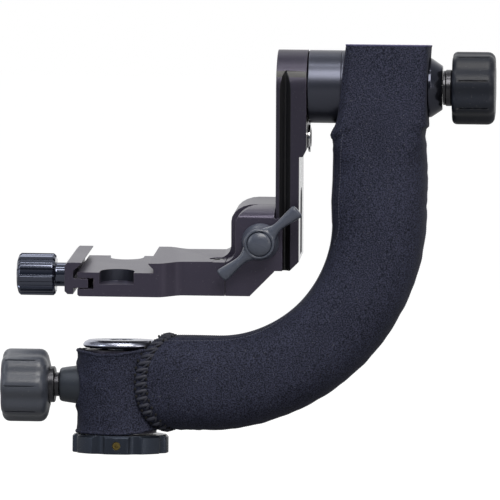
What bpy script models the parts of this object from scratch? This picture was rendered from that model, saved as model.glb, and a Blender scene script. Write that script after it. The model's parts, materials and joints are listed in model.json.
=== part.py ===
"""Gimbal tripod head with a padded L-shaped arm, at its real size.

Metres, +Z up. The origin is the centre of the base's underside, on the pan axis.
+X runs towards the tilt lock knob, +Y away from the side that faces the photographer.
The pieces that swing are modelled in a frame of their own, whose origin is on the tilt
axis, and an empty leans that frame back by REST_LEAN.
"""

import math

import bmesh
import bpy
from mathutils import Matrix, Vector

MM = 0.001
DEG = math.pi / 180.0

# Fits and mesh fineness
GAP = 0.3 * MM
OVERRUN = 2.0 * MM
MERGE = 0.0001 * MM
SEAM = 0.001 * MM
ROUND_STEPS = 32
SMALL_STEPS = 16

# Layout of the two axes and the arm
TILT_AXIS_Z = 221.0 * MM
REST_LEAN = 6.0 * DEG
LEG_BOTTOM_Z = 17.6 * MM
ARM_WIDTH = 49.5 * MM
ARM_DEPTH = 43.4 * MM
ARM_INNER_X = 129.7 * MM
OUTER_BEND_RADIUS = 129.7 * MM
BEND_SWELL = 8.9 * MM
HEAD_CROWN = 21.7 * MM
HEAD_STEP = 4.0 * MM
HEAD_CORNER_DEPTH = 8.0 * MM
HEAD_STEP_START_DROP = 32.0 * MM
HEAD_STEP_END_DROP = 22.5 * MM
ROOT_HALF_DEPTH = 18.0 * MM
ROOT_X = 4.0 * MM
FULL_DEPTH_X = 30.0 * MM
SECTION_POWER = 4.5
SECTION_POINTS = 24
LEG_STATIONS = 3
BEND_STATIONS = 11
HEAD_STEP_STATIONS = 3

# Pan base
BASE_RADIUS = 29.0 * MM
BASE_HEIGHT = 11.0 * MM
BASE_CHAMFER = 1.3 * MM
BASE_EDGE = 0.5 * MM
BASE_LOBES = 8
SCALLOP_RADIUS = 5.6 * MM
SCALLOP_DEPTH = 2.3 * MM
SOCKET_RADIUS = 8.0 * MM
SOCKET_DEPTH = 9.4 * MM
SOCKET_FLOOR_HOLE = 5.2 * MM
THREAD_RADIUS = 4.2 * MM
THREAD_SET_BACK = 0.6 * MM
THREAD_HEIGHT = 8.5 * MM
SET_SCREW_Z = 5.1 * MM
SET_SCREW_RADIUS = 2.3 * MM
SET_SCREW_INSET = 1.2 * MM
SET_SCREW_LENGTH = 9.0 * MM
SET_SCREW_BORE_END = 16.0 * MM
HEX_SHARE = 0.52
HEX_DEPTH = 2.0 * MM

# Pan shaft, its screws and its cap
SHAFT_FLANGE_RADIUS = 17.0 * MM
SHAFT_FLANGE_HEIGHT = 3.8 * MM
SHAFT_RADIUS = 8.0 * MM
SHAFT_SHOULDER_RADIUS = 9.6 * MM
SHAFT_TOP_Z = 62.4 * MM
SHAFT_STUD_ROOM = 15.0 * MM
SHAFT_SCREWS = 3
SHAFT_SCREW_CIRCLE = 12.4 * MM
SHAFT_SCREW_RADIUS = 1.6 * MM
SHAFT_SCREW_HEAD_RADIUS = 3.0 * MM
SHAFT_SCREW_HEAD_HEIGHT = 3.2 * MM
SHAFT_SCREW_LENGTH = 6.2 * MM
CAP_RADIUS = 23.1 * MM
CAP_HEIGHT = 4.9 * MM
CAP_TOP_RADIUS = 19.6 * MM
CAP_FOOT_RADIUS = 21.6 * MM
CAP_WAIST_SHARE = 0.3
CAP_SHOULDER_RADIUS = 22.0 * MM
CAP_SHOULDER_SHARE = 0.76
CAP_RECESS_RADIUS = 7.7 * MM
CAP_RECESS_DEPTH = 2.9 * MM
CAP_BOLT_RADIUS = 2.8 * MM
CAP_BOLT_HEAD_RADIUS = 5.4 * MM
CAP_BOLT_HEAD_HEIGHT = 2.2 * MM
CAP_BOLT_LENGTH = 18.0 * MM

# Pan housing at the root of the arm
HOUSING_RADIUS = 21.7 * MM
HOUSING_BOTTOM_Z = 11.9 * MM
HOUSING_TOP_Z = 61.4 * MM
FLANGE_ROOM_Z = 15.7 * MM
CAP_CLEARANCE_RADIUS = 27.5 * MM

# Ball bearings, all four alike
RACE_INNER_WALL = 1.9 * MM
BALL_RADIUS = 1.25 * MM
RACE_OUTER_RADIUS = 15.0 * MM
RACE_OUTER_WALL = 1.9 * MM
RACE_WIDTH = 7.0 * MM
BALLS = 12
BALL_RIPPLE = 0.3
RACE_STEPS = 24
BEARING_SEAT = RACE_OUTER_RADIUS + GAP
SEAT_SHOULDER_RADIUS = 13.4 * MM
LOWER_BEARING_Z = 16.0 * MM
UPPER_BEARING_Z = 52.0 * MM
CIRCLIP_WIDTH = 1.2 * MM
CIRCLIP_RING = 1.7 * MM
CIRCLIP_OPENING = 40.0 * DEG
CIRCLIP_STEPS = 20

# Both lock knobs are alike
GRIP_CREST_RADIUS = 22.1 * MM
GRIP_VALLEY_RADIUS = 20.4 * MM
GRIP_FLUTES = 8
GRIP_FLUTE_POWER = 3.0
GRIP_LENGTH = 25.6 * MM
GRIP_CORNER = 4.6 * MM
GRIP_NECK_CORNER = 2.2 * MM
GRIP_SOCKET_DEPTH = 14.0 * MM
GRIP_CORNER_STEPS = 4
GRIP_STEPS = 48
COLLAR_RADIUS = 10.9 * MM
COLLAR_LENGTH = 6.6 * MM
COLLAR_NECK_RADIUS = 7.2 * MM
LOCK_SCREW_RADIUS = 3.7 * MM
LOCK_BORE = LOCK_SCREW_RADIUS + GAP

# Pan lock
PAN_LOCK_Z = 40.2 * MM
BOSS_ROOT_RADIUS = 11.8 * MM
BOSS_TIP_RADIUS = 9.6 * MM
BOSS_TIP_X = -37.0 * MM
PAN_NECK_LENGTH = 2.3 * MM
PAN_GRIP_TURN = 19.0 * DEG
SHOE_RADIUS = 5.0 * MM
SHOE_LENGTH = 5.6 * MM
BOSS_SLEEVE_ROOM = 0.6 * MM

# Tilt bearing housing and shaft, along X
TILT_HOUSING_RUN = 0.45 * MM
TILT_HOUSING_RADIUS = 21.85 * MM
TILT_SPIGOT_RADIUS = 17.6 * MM
TILT_SPIGOT_LENGTH = 16.0 * MM
TILT_FLANGE_THICKNESS = 3.6 * MM
TILT_FLANGE_RADIUS = 16.0 * MM
TILT_LEFT_BEARING_INSET = 4.0 * MM
TILT_RIGHT_BEARING_INSET = 16.8 * MM
TILT_NUT_RADIUS = 11.6 * MM
TILT_NUT_LENGTH = 4.4 * MM
TILT_SHAFT_END_INSET = 2.2 * MM
BRAKE_PAD_RADIUS = 7.2 * MM
BRAKE_PAD_LENGTH = 2.4 * MM
CONE_RUN = 0.7 * MM
CONE_BASE_RADIUS = 17.7 * MM
CONE_FACE_RADIUS = 13.1 * MM
CONE_LENGTH = 8.6 * MM
CONE_RIM = 2.2 * MM
CONE_HUB_RADIUS = 14.9 * MM
CONE_CAVITY_RADIUS = 12.2 * MM
CONE_CAVITY_OUT = 2.4 * MM
TILT_NECK_LENGTH = 1.2 * MM
TILT_COLLAR_LENGTH = 4.0 * MM
TILT_GRIP_TURN = -10.0 * DEG

# Neoprene sleeve round the arm
SLEEVE_WALL = 3.0 * MM
SLEEVE_HEM_BOTTOM_Z = 12.2 * MM
SLEEVE_HEM_TOP_Z = 59.4 * MM
SLEEVE_CAP_RADIUS = 25.3 * MM

# Swing arm, in the swing frame
SWING_X = 92.8 * MM
PAD_RIGHT_X = 110.95 * MM
LOWER_RIGHT_X = 106.8 * MM
SWING_HALF_DEPTH = 22.0 * MM
PAD_BOTTOM = -40.2 * MM
PAD_CHAMFER = 4.0 * MM
SWING_BOTTOM = -108.9 * MM
SWING_CHAMFER = 5.5 * MM
PAD_ARC_STEPS = 18
GROOVE_CENTRE_X = 98.3 * MM
GROOVE_HALF_WIDTH = 3.3 * MM
GROOVE_DEPTH = 2.8 * MM
GROOVE_FLOOR_HALF = 0.5 * MM
POCKET_HALF_WIDTH = 7.0 * MM
POCKET_TOP = -61.0 * MM
POCKET_BOTTOM = -101.0 * MM
POCKET_DEPTH = 2.6 * MM
ARM_SCREWS = 3
ARM_SCREW_CIRCLE = 12.4 * MM
ARM_SCREW_RADIUS = 2.4 * MM
ARM_SCREW_HEAD_RADIUS = 4.2 * MM
ARM_SCREW_HEAD_HEIGHT = 4.6 * MM
ARM_SCREW_LENGTH = 15.0 * MM
PLUG_RADIUS = 8.3 * MM
PLUG_CENTRE = -31.2 * MM
PLUG_HEAD = 1.3 * MM
PLUG_STEM_RADIUS = 4.0 * MM
PLUG_STEM_LENGTH = 6.0 * MM
STOP_PIN_RADIUS = 2.0 * MM
STOP_PIN_HEIGHT = -100.0 * MM
STOP_PIN_OUT = 4.4 * MM
STOP_PIN_IN = 5.0 * MM

# Lens platform, in the swing frame
PLATFORM_TOP = -103.2 * MM
PLATFORM_BOTTOM = -123.5 * MM
CLAMP_HALF_WIDTH = 38.0 * MM
WAIST_HALF_WIDTH = 28.5 * MM
PLATFORM_LEFT_X = -24.6 * MM
PLATFORM_EDGE = 1.0 * MM
CHANNEL_FLOOR = -109.0 * MM
FIXED_LIP_X = 18.05 * MM
DOVETAIL_RUN = 2.9 * MM
LIP_LAND = 0.7 * MM
CHANNEL_LAND = 2.1 * MM
CLAMP_WIDE_END_X = 23.5 * MM
WAIST_START_X = 38.0 * MM
WAIST_STEPS = 8
BLOCK_LEFT_X = 65.3 * MM
BLOCK_TOP = -70.6 * MM
BLOCK_CORNER = 14.5 * MM
BLOCK_CORNER_DROP = 10.5 * MM
FOOT_FILLET = 7.5 * MM
FILLET_STEPS = 6
DIAGONAL_FOOT_X = 77.9 * MM
DIAGONAL_TOP = -108.6 * MM
HOOK_REACH = 4.5 * MM
HOOK_TIP = 1.5 * MM
HOOK_FOOT = 0.5 * MM
TONGUE_SLOT_X = -14.9 * MM
TONGUE_TOP = -112.9 * MM
TONGUE_BOTTOM = -118.5 * MM
TONGUE_GAP = 0.5 * MM
POCKET_ROUND_X = -1.1 * MM
POCKET_ROUND_RADIUS = 10.3 * MM
POCKET_ROUND_INSET = 6.5 * MM
POCKET_LEDGE = -116.0 * MM
LENS_STOP_X = 57.4 * MM
LENS_STOP_Y = -14.0 * MM
LENS_STOP_RADIUS = 4.7 * MM
LENS_STOP_RECESS = 3.2 * MM
LENS_STOP_STEM = 2.2 * MM
LENS_STOP_LENGTH = 11.0 * MM
LENS_STOP_HEAD = 2.6 * MM

# Near jaw that grips the swing arm, and its winged knob
JAW_SPLIT_Y = -8.0 * MM
JAW_LEFT_X = 69.2 * MM
JAW_FOOT_X = 63.0 * MM
JAW_FACE_TOP = -76.6 * MM
JAW_TOP_STEPS = 8
JAW_CORNER = 13.0 * MM
JAW_CORNER_DROP = 9.5 * MM
WING_KNOB_INSET = 8.5 * MM
WING_KNOB_HEIGHT = -90.5 * MM
WING_HUB_RADIUS = 11.4 * MM
WING_RING_RADIUS = 9.3 * MM
WING_HUB_LENGTH = 11.6 * MM
WING_CAP_RADIUS = 7.3 * MM
WING_CAP_RECESS = 1.4 * MM
WING_CAP_DOME = 2.4 * MM
WING_SPAN = 30.4 * MM
WING_END_HALF = 4.2 * MM
WING_NECK_HALF = 2.7 * MM
WING_NECK_REACH = 12.5 * MM
WING_THICKNESS = 6.4 * MM
WING_SET_BACK = 0.8 * MM
WING_TURN = 41.0 * DEG
WING_STUD_RADIUS = 3.0 * MM
WING_STUD_END_Y = 12.0 * MM
WING_STUD_HEAD = 5.0 * MM
INSERT_WALL = 2.0 * MM
INSERT_LENGTH = 12.0 * MM

# Clamp jaw and its knob
CLAMP_OPENING = 2.5 * MM
CLAMP_JAW_LEFT_X = -32.3 * MM
CLAMP_LIP_X = -22.2 * MM
CLAMP_LIP_DROP = 5.2 * MM
TONGUE_LENGTH = 8.9 * MM
CLAMP_JAW_BOTTOM = -122.3 * MM
CLAMP_JAW_CHAMFER = 1.8 * MM
CLAMP_SCREW_HEIGHT = -115.7 * MM
CLAMP_SCREW_RADIUS = 2.5 * MM
CLAMP_SCREW_END_X = -1.0 * MM
CLAMP_NOTCH_HALF = 4.5 * MM
CLAMP_KNOB_RADIUS = 12.7 * MM
CLAMP_KNOB_LEFT_X = -64.2 * MM
CLAMP_KNOB_RIGHT_X = -41.0 * MM
CLAMP_KNOB_NECK = 7.2 * MM
CLAMP_KNOB_FLUTES = 12
CLAMP_FLUTE_DEPTH = 0.9 * MM
CLAMP_KNOB_EDGE = 1.4 * MM
CLAMP_KNOB_DOME = 0.8 * MM
CLAMP_KNOB_BORE = 12.0 * MM

# Sizes that follow from the ones above
ARM_OUTER_X = ARM_INNER_X + ARM_WIDTH
INNER_BEND_RADIUS = OUTER_BEND_RADIUS - ARM_WIDTH - BEND_SWELL
LEG_TOP_Z = LEG_BOTTOM_Z + ARM_WIDTH
HEAD_TOP_Z = TILT_AXIS_Z + HEAD_CROWN
HEAD_FACE_X = ARM_INNER_X + HEAD_STEP
TILT_HOUSING_X = PAD_RIGHT_X + TILT_HOUSING_RUN
TILT_LEFT_BEARING_X = TILT_HOUSING_X + TILT_LEFT_BEARING_INSET
TILT_RIGHT_BEARING_X = ARM_OUTER_X - TILT_RIGHT_BEARING_INSET
TILT_SHAFT_END_X = ARM_OUTER_X - TILT_SHAFT_END_INSET
CONE_X = ARM_OUTER_X + SLEEVE_WALL + CONE_RUN
CONE_FACE_X = CONE_X + CONE_LENGTH
CONE_CAVITY_END_X = ARM_OUTER_X + CONE_CAVITY_OUT
SWING_RIGHT_OF_BLOCK = SWING_X - GAP
WING_KNOB_X = SWING_X - WING_KNOB_INSET
CLAMP_JAW_RIGHT_X = PLATFORM_LEFT_X - CLAMP_OPENING
BEARING_BORE = SHAFT_RADIUS + GAP

COLOURS = {
    "anodised": ((0.045, 0.042, 0.062), 0.38, 0.7),
    "dark_steel": ((0.08, 0.08, 0.085), 0.35, 0.9),
    "bright_steel": ((0.55, 0.54, 0.52), 0.28, 1.0),
    "brass": ((0.45, 0.33, 0.12), 0.35, 1.0),
    "polished_black": ((0.03, 0.03, 0.034), 0.12, 0.8),
    "neoprene": ((0.016, 0.018, 0.028), 0.9, 0.0),
    "rubber": ((0.06, 0.063, 0.068), 0.6, 0.0),
    "plastic": ((0.065, 0.075, 0.09), 0.45, 0.0),
}

# Turns that lay a piece's own Z along X or Y
ALONG = {
    "X": Matrix.Rotation(90.0 * DEG, 4, "Y"),
    "Y": Matrix.Rotation(-90.0 * DEG, 4, "X"),
    "Z": Matrix.Identity(4),
}


def clear_scene():
    for thing in list(bpy.data.objects):
        bpy.data.objects.remove(thing, do_unlink=True)


def material(name):
    """A Principled material of the named finish, made once."""
    found = bpy.data.materials.get(name)
    if found:
        return found
    colour, roughness, metallic = COLOURS[name]
    made = bpy.data.materials.new(name)
    made.use_nodes = True
    shader = made.node_tree.nodes["Principled BSDF"]
    shader.inputs["Base Color"].default_value = (*colour, 1.0)
    shader.inputs["Roughness"].default_value = roughness
    shader.inputs["Metallic"].default_value = metallic
    made.diffuse_color = (*colour, 1.0)
    return made


def finish_object(name, bm, finish, parent=None, place=None):
    """Turn a bmesh into a smooth-shaded object of one finish."""
    bmesh.ops.recalc_face_normals(bm, faces=bm.faces)
    mesh = bpy.data.meshes.new(name)
    bm.to_mesh(mesh)
    bm.free()
    made = bpy.data.objects.new(name, mesh)
    bpy.context.scene.collection.objects.link(made)
    if finish:
        mesh.materials.append(material(finish))
    mesh.shade_smooth()
    mesh.set_sharp_from_angle(angle=35.0 * DEG)
    made.parent = parent
    if place is not None:
        made.matrix_local = place
    return made


def at(x=0.0, y=0.0, z=0.0, along="Z"):
    """Where a piece stands, and which way its own Z points."""
    return Matrix.Translation(Vector((x, y, z))) @ ALONG[along]


def turned(name, profile, finish, place, parent=None, hollow=False, steps=ROUND_STEPS):
    """A lathe piece: (radius, height) points spun about the piece's own Z.

    A hollow profile is a closed loop away from the axis; a solid one starts and ends on it.
    """
    bm = bmesh.new()
    points = [bm.verts.new((radius, 0.0, height)) for radius, height in profile]
    edges = [bm.edges.new(pair) for pair in zip(points, points[1:])]
    if hollow:
        edges.append(bm.edges.new((points[-1], points[0])))
    bmesh.ops.spin(
        bm, geom=points + edges, cent=(0, 0, 0), axis=(0, 0, 1), angle=360.0 * DEG, steps=steps, use_merge=True
    )
    bmesh.ops.remove_doubles(bm, verts=bm.verts, dist=MERGE)
    return finish_object(name, bm, finish, parent, place)


def rod(name, radius, low, high, finish, place, parent=None, steps=ROUND_STEPS):
    """A plain round bar between two heights."""
    profile = [(0.0, low), (radius, low), (radius, high), (0.0, high)]
    return turned(name, profile, finish, place, parent, steps=steps)


def ring(name, inner, outer, low, high, finish, place, parent=None, steps=ROUND_STEPS):
    """A plain washer or bush between two heights."""
    profile = [(inner, low), (outer, low), (outer, high), (inner, high)]
    return turned(name, profile, finish, place, parent, hollow=True, steps=steps)


PLANES = {
    "X": lambda a, b, c: (c, a, b),
    "Y": lambda a, b, c: (a, c, b),
    "Z": lambda a, b, c: (a, b, c),
}


def extruded(name, outline, along, low, high, finish, parent=None, place=None):
    """An outline drawn square to one axis and drawn out along it."""
    bm = bmesh.new()
    put = PLANES[along]
    face = bm.faces.new([bm.verts.new(put(a, b, low)) for a, b in outline])
    grown = bmesh.ops.extrude_face_region(bm, geom=[face])
    moved = [v for v in grown["geom"] if isinstance(v, bmesh.types.BMVert)]
    bmesh.ops.translate(bm, verts=moved, vec=put(0.0, 0.0, high - low))
    return finish_object(name, bm, finish, parent, place)


def box(name, low, high, parent=None):
    """A plain block, used as a cutter."""
    outline = [(low[0], low[1]), (high[0], low[1]), (high[0], high[1]), (low[0], high[1])]
    return extruded(name, outline, "Z", low[2], high[2], None, parent)


def lofted(name, rings, finish, parent=None, place=None):
    """A skin over rings of as many points each, closed by a flat face at both ends."""
    bm = bmesh.new()
    rows = [[bm.verts.new(point) for point in points] for points in rings]
    for near, far in zip(rows, rows[1:]):
        for i, _ in enumerate(near):
            j = (i + 1) % len(near)
            bm.faces.new((near[i], near[j], far[j], far[i]))
    bm.faces.new(rows[0])
    bm.faces.new(rows[-1])
    return finish_object(name, bm, finish, parent, place)


def arc(centre, radius, start, end, steps):
    """Points of a circle's arc, both ends included."""
    turn = (end - start) / steps
    return [
        (centre[0] + radius * math.cos(start + turn * i), centre[1] + radius * math.sin(start + turn * i))
        for i in range(steps + 1)
    ]


def combine(target, tool, operation):
    """Cut, join or intersect a piece with a helper that stays out of the model."""
    tool.hide_render = True
    tool.display_type = "WIRE"
    tidy = target.modifiers.new("tidy_seams", "WELD")
    tidy.merge_threshold = SEAM
    target.modifiers.new("flat_faces", "TRIANGULATE")
    change = target.modifiers.new(operation.lower(), "BOOLEAN")
    change.operation = operation
    change.object = tool
    change.solver = "EXACT"


def cut(target, *tools):
    for tool in tools:
        combine(target, tool, "DIFFERENCE")


def ease(low, high, value):
    """0 below low, 1 above high and a smooth rise between."""
    share = min(1.0, max(0.0, (value - low) / (high - low)))
    return share * share * (3.0 - 2.0 * share)


def hexagon_cutter(name, radius, low, high, place, parent=None):
    outline = [(radius * math.cos(k * 60.0 * DEG), radius * math.sin(k * 60.0 * DEG)) for k in range(6)]
    return extruded(name, outline, "Z", low, high, None, parent, place)


def socket_screw(name, radius, head_radius, head_height, length, finish, place, parent=None):
    """A cap screw: head from 0 up, shank below it, with a hexagon socket."""
    profile = [
        (0.0, -length), (radius, -length), (radius, 0.0), (head_radius, 0.0),
        (head_radius, head_height), (0.0, head_height),
    ]
    made = turned(name, profile, finish, place, parent, steps=SMALL_STEPS)
    socket_radius = head_radius * HEX_SHARE
    socket_floor = head_height - min(HEX_DEPTH, head_height * HEX_SHARE)
    cut(made, hexagon_cutter(name + "_socket", socket_radius, socket_floor, head_height + OVERRUN, place, parent))
    return made


def bearing(label, axial, along, centre_z, inner_parent=None):
    """Inner race, ball ring and outer race of one ball bearing."""
    outer_inner = RACE_OUTER_RADIUS - RACE_OUTER_WALL
    inner_outer = BEARING_BORE + RACE_INNER_WALL
    where = at(z=centre_z) @ ALONG[along]
    end = axial + RACE_WIDTH
    ring(label + "_inner_race", BEARING_BORE, inner_outer, axial, end, "bright_steel", where, inner_parent, RACE_STEPS)
    ring(label + "_outer_race", outer_inner, RACE_OUTER_RADIUS, axial, end, "bright_steel", where, steps=RACE_STEPS)
    pitch = (inner_outer + outer_inner) / 2.0
    room = (outer_inner - inner_outer) / 2.0 - GAP
    around, across = BALLS * 2, 5
    rings = []
    for i in range(around):
        angle = 2.0 * math.pi * i / around
        swell = min(BALL_RADIUS, room) * (1.0 - BALL_RIPPLE * (1.0 - math.cos(BALLS * angle)) / 2.0)
        rings.append([
            (
                (pitch + swell * math.cos(2.0 * math.pi * j / across)) * math.cos(angle),
                (pitch + swell * math.cos(2.0 * math.pi * j / across)) * math.sin(angle),
                axial + RACE_WIDTH / 2.0 + swell * math.sin(2.0 * math.pi * j / across),
            )
            for j in range(across)
        ])
    bm = bmesh.new()
    rows = [[bm.verts.new(point) for point in points] for points in rings]
    for i, near in enumerate(rows):
        far = rows[(i + 1) % around]
        for j in range(across):
            k = (j + 1) % across
            bm.faces.new((near[j], near[k], far[k], far[j]))
    finish_object(label + "_balls", bm, "bright_steel", inner_parent, where)


# The base


def tripod_base():
    """The lobed disc that a tripod's stud screws into."""
    profile = [
        (0.0, 0.0), (BASE_RADIUS - BASE_EDGE, 0.0), (BASE_RADIUS, BASE_EDGE),
        (BASE_RADIUS, BASE_HEIGHT - BASE_CHAMFER), (BASE_RADIUS - BASE_CHAMFER, BASE_HEIGHT), (0.0, BASE_HEIGHT),
    ]
    disc = turned("tripod_base", profile, "anodised", at())
    for k in range(BASE_LOBES):
        angle = (k + 0.5) * 2.0 * math.pi / BASE_LOBES - 90.0 * DEG
        reach = BASE_RADIUS + SCALLOP_RADIUS - SCALLOP_DEPTH
        spot = at(reach * math.cos(angle), reach * math.sin(angle))
        cut(disc, rod(f"scallop_{k}", SCALLOP_RADIUS, -OVERRUN, BASE_HEIGHT + OVERRUN, None, spot, steps=SMALL_STEPS))
    cut(disc, rod("socket_hole", SOCKET_RADIUS, -OVERRUN, SOCKET_DEPTH, None, at()))
    cut(disc, rod("socket_floor", SOCKET_FLOOR_HOLE, -OVERRUN, BASE_HEIGHT + OVERRUN, None, at(), steps=SMALL_STEPS))
    hole = SET_SCREW_RADIUS + GAP
    place = at(z=SET_SCREW_Z, along="Y")
    cut(disc, rod("set_screw_hole", hole, -BASE_RADIUS - OVERRUN, -SET_SCREW_BORE_END, None, place, steps=SMALL_STEPS))
    for spot in shaft_screw_spots():
        head = SHAFT_SCREW_HEAD_RADIUS + GAP
        depth = SHAFT_SCREW_HEAD_HEIGHT + BASE_EDGE + GAP
        shank = SHAFT_SCREW_RADIUS + GAP
        cut(disc, rod("screw_head_hole", head, -OVERRUN, depth, None, at(*spot), steps=SMALL_STEPS))
        cut(disc, rod("screw_hole", shank, -OVERRUN, BASE_HEIGHT + OVERRUN, None, at(*spot), steps=SMALL_STEPS))


def shaft_screw_spots():
    """Centres of the screws that hold the pan shaft, clear of the set screw at the front."""
    return [
        (
            SHAFT_SCREW_CIRCLE * math.cos(90.0 * DEG + 2.0 * math.pi * k / SHAFT_SCREWS),
            SHAFT_SCREW_CIRCLE * math.sin(90.0 * DEG + 2.0 * math.pi * k / SHAFT_SCREWS),
        )
        for k in range(SHAFT_SCREWS)
    ]


def base_fasteners():
    low = THREAD_SET_BACK
    ring(
        "tripod_thread_insert", THREAD_RADIUS, SOCKET_RADIUS - GAP, low, low + THREAD_HEIGHT, "bright_steel", at(),
        steps=SMALL_STEPS,
    )
    start = -BASE_RADIUS + SET_SCREW_INSET
    place = at(z=SET_SCREW_Z, along="Y")
    screw = rod(
        "base_set_screw", SET_SCREW_RADIUS, start, start + SET_SCREW_LENGTH, "brass", place, steps=SMALL_STEPS
    )
    socket = SET_SCREW_RADIUS * HEX_SHARE
    cut(screw, hexagon_cutter("set_screw_socket", socket, start - OVERRUN, start + HEX_DEPTH, place))
    for k, spot in enumerate(shaft_screw_spots()):
        flip = at(spot[0], spot[1], SHAFT_SCREW_HEAD_HEIGHT + BASE_EDGE) @ Matrix.Rotation(180.0 * DEG, 4, "X")
        socket_screw(
            f"pan_shaft_screw_{k + 1}", SHAFT_SCREW_RADIUS, SHAFT_SCREW_HEAD_RADIUS, SHAFT_SCREW_HEAD_HEIGHT,
            SHAFT_SCREW_LENGTH + BASE_HEIGHT - SHAFT_SCREW_HEAD_HEIGHT - BASE_EDGE - SHAFT_FLANGE_HEIGHT,
            "dark_steel", flip,
        )


def pan_shaft():
    """The flanged post that the arm turns on."""
    foot = BASE_HEIGHT + GAP
    flange_top = foot + SHAFT_FLANGE_HEIGHT
    low, high = LOWER_BEARING_Z + RACE_WIDTH + GAP, UPPER_BEARING_Z - GAP
    profile = [
        (0.0, foot), (SHAFT_FLANGE_RADIUS, foot), (SHAFT_FLANGE_RADIUS, flange_top), (SHAFT_RADIUS, flange_top),
        (SHAFT_RADIUS, low), (SHAFT_SHOULDER_RADIUS, low), (SHAFT_SHOULDER_RADIUS, high), (SHAFT_RADIUS, high),
        (SHAFT_RADIUS, SHAFT_TOP_Z), (0.0, SHAFT_TOP_Z),
    ]
    shaft = turned("pan_shaft", profile, "bright_steel", at())
    bolt_hole = CAP_BOLT_RADIUS + GAP
    cut(
        shaft,
        rod("stud_room", SOCKET_FLOOR_HOLE, foot - OVERRUN, foot + SHAFT_STUD_ROOM, None, at(), steps=SMALL_STEPS),
        rod(
            "cap_bolt_hole", bolt_hole, SHAFT_TOP_Z - CAP_BOLT_LENGTH - GAP, SHAFT_TOP_Z + OVERRUN, None, at(),
            steps=SMALL_STEPS,
        ),
    )
    for spot in shaft_screw_spots():
        hole = SHAFT_SCREW_RADIUS + GAP
        cut(shaft, rod("flange_hole", hole, foot - OVERRUN, flange_top + OVERRUN, None, at(*spot), steps=SMALL_STEPS))


def pan_cap():
    """The polished ring over the bearings, and the bolt that holds it."""
    foot = SHAFT_TOP_Z + GAP
    top = foot + CAP_HEIGHT
    recess = top - CAP_RECESS_DEPTH
    hole = CAP_BOLT_RADIUS + GAP
    profile = [
        (hole, foot), (CAP_FOOT_RADIUS, foot), (CAP_RADIUS, foot + CAP_HEIGHT * CAP_WAIST_SHARE),
        (CAP_SHOULDER_RADIUS, foot + CAP_HEIGHT * CAP_SHOULDER_SHARE), (CAP_TOP_RADIUS, top),
        (CAP_RECESS_RADIUS, top), (CAP_RECESS_RADIUS, recess), (hole, recess),
    ]
    turned("pan_cap", profile, "polished_black", at(), hollow=True)
    socket_screw(
        "pan_cap_bolt", CAP_BOLT_RADIUS, CAP_BOLT_HEAD_RADIUS, CAP_BOLT_HEAD_HEIGHT, CAP_BOLT_LENGTH, "dark_steel",
        at(z=recess + GAP),
    )


# The padded arm


def arm_rings(skin):
    """Sections of the arm, grown by skin on every side.

    A section runs between the outer and the inner outline: level under the pan end, round the
    bend on two arcs whose centres differ, and upright to the tilt axis. Its corners are rounded
    by a superellipse.
    """
    outer_centre = (ARM_OUTER_X - OUTER_BEND_RADIUS, LEG_BOTTOM_Z + OUTER_BEND_RADIUS)
    inner_centre = (ARM_INNER_X - INNER_BEND_RADIUS, LEG_TOP_Z + INNER_BEND_RADIUS)
    outer_radius, inner_radius = OUTER_BEND_RADIUS + skin, INNER_BEND_RADIUS - skin
    pairs = []
    for i in range(LEG_STATIONS):
        share = i / LEG_STATIONS
        pairs.append((
            (ROOT_X + (outer_centre[0] - ROOT_X) * share, LEG_BOTTOM_Z - skin),
            (ROOT_X + (inner_centre[0] - ROOT_X) * share, LEG_TOP_Z + skin),
        ))
    for i in range(BEND_STATIONS + 1):
        turn = 90.0 * DEG * i / BEND_STATIONS
        pairs.append((
            (outer_centre[0] + outer_radius * math.sin(turn), outer_centre[1] - outer_radius * math.cos(turn)),
            (inner_centre[0] + inner_radius * math.sin(turn), inner_centre[1] - inner_radius * math.cos(turn)),
        ))
    top = HEAD_TOP_Z + skin
    step_low, step_high = TILT_AXIS_Z - HEAD_STEP_START_DROP, TILT_AXIS_Z - HEAD_STEP_END_DROP
    heights = [(inner_centre[1] + step_low) / 2.0]
    heights += [step_low + (step_high - step_low) * i / HEAD_STEP_STATIONS for i in range(HEAD_STEP_STATIONS + 1)]
    heights += [TILT_AXIS_Z, top]
    for inner_z in heights:
        share = (inner_z - inner_centre[1]) / (top - inner_centre[1])
        outer_z = outer_centre[1] + (top - outer_centre[1]) * share
        inner_x = ARM_INNER_X - skin + HEAD_STEP * ease(step_low, step_high, inner_z)
        pairs.append(((ARM_OUTER_X + skin, outer_z), (inner_x, inner_z)))
    rings = []
    for outer, inner in pairs:
        middle_x, middle_z = (outer[0] + inner[0]) / 2.0, (outer[1] + inner[1]) / 2.0
        half_x, half_z = (inner[0] - outer[0]) / 2.0, (inner[1] - outer[1]) / 2.0
        depth = ROOT_HALF_DEPTH + (ARM_DEPTH / 2.0 - ROOT_HALF_DEPTH) * ease(ROOT_X, FULL_DEPTH_X, middle_x) + skin
        section = []
        for k in range(SECTION_POINTS):
            angle = 2.0 * math.pi * (k + 0.5) / SECTION_POINTS
            along = math.copysign(abs(math.cos(angle)) ** (2.0 / SECTION_POWER), math.cos(angle))
            across = math.copysign(abs(math.sin(angle)) ** (2.0 / SECTION_POWER), math.sin(angle))
            section.append((middle_x + half_x * along, depth * across, middle_z + half_z * along))
        rings.append(section)
    return rings


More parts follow.
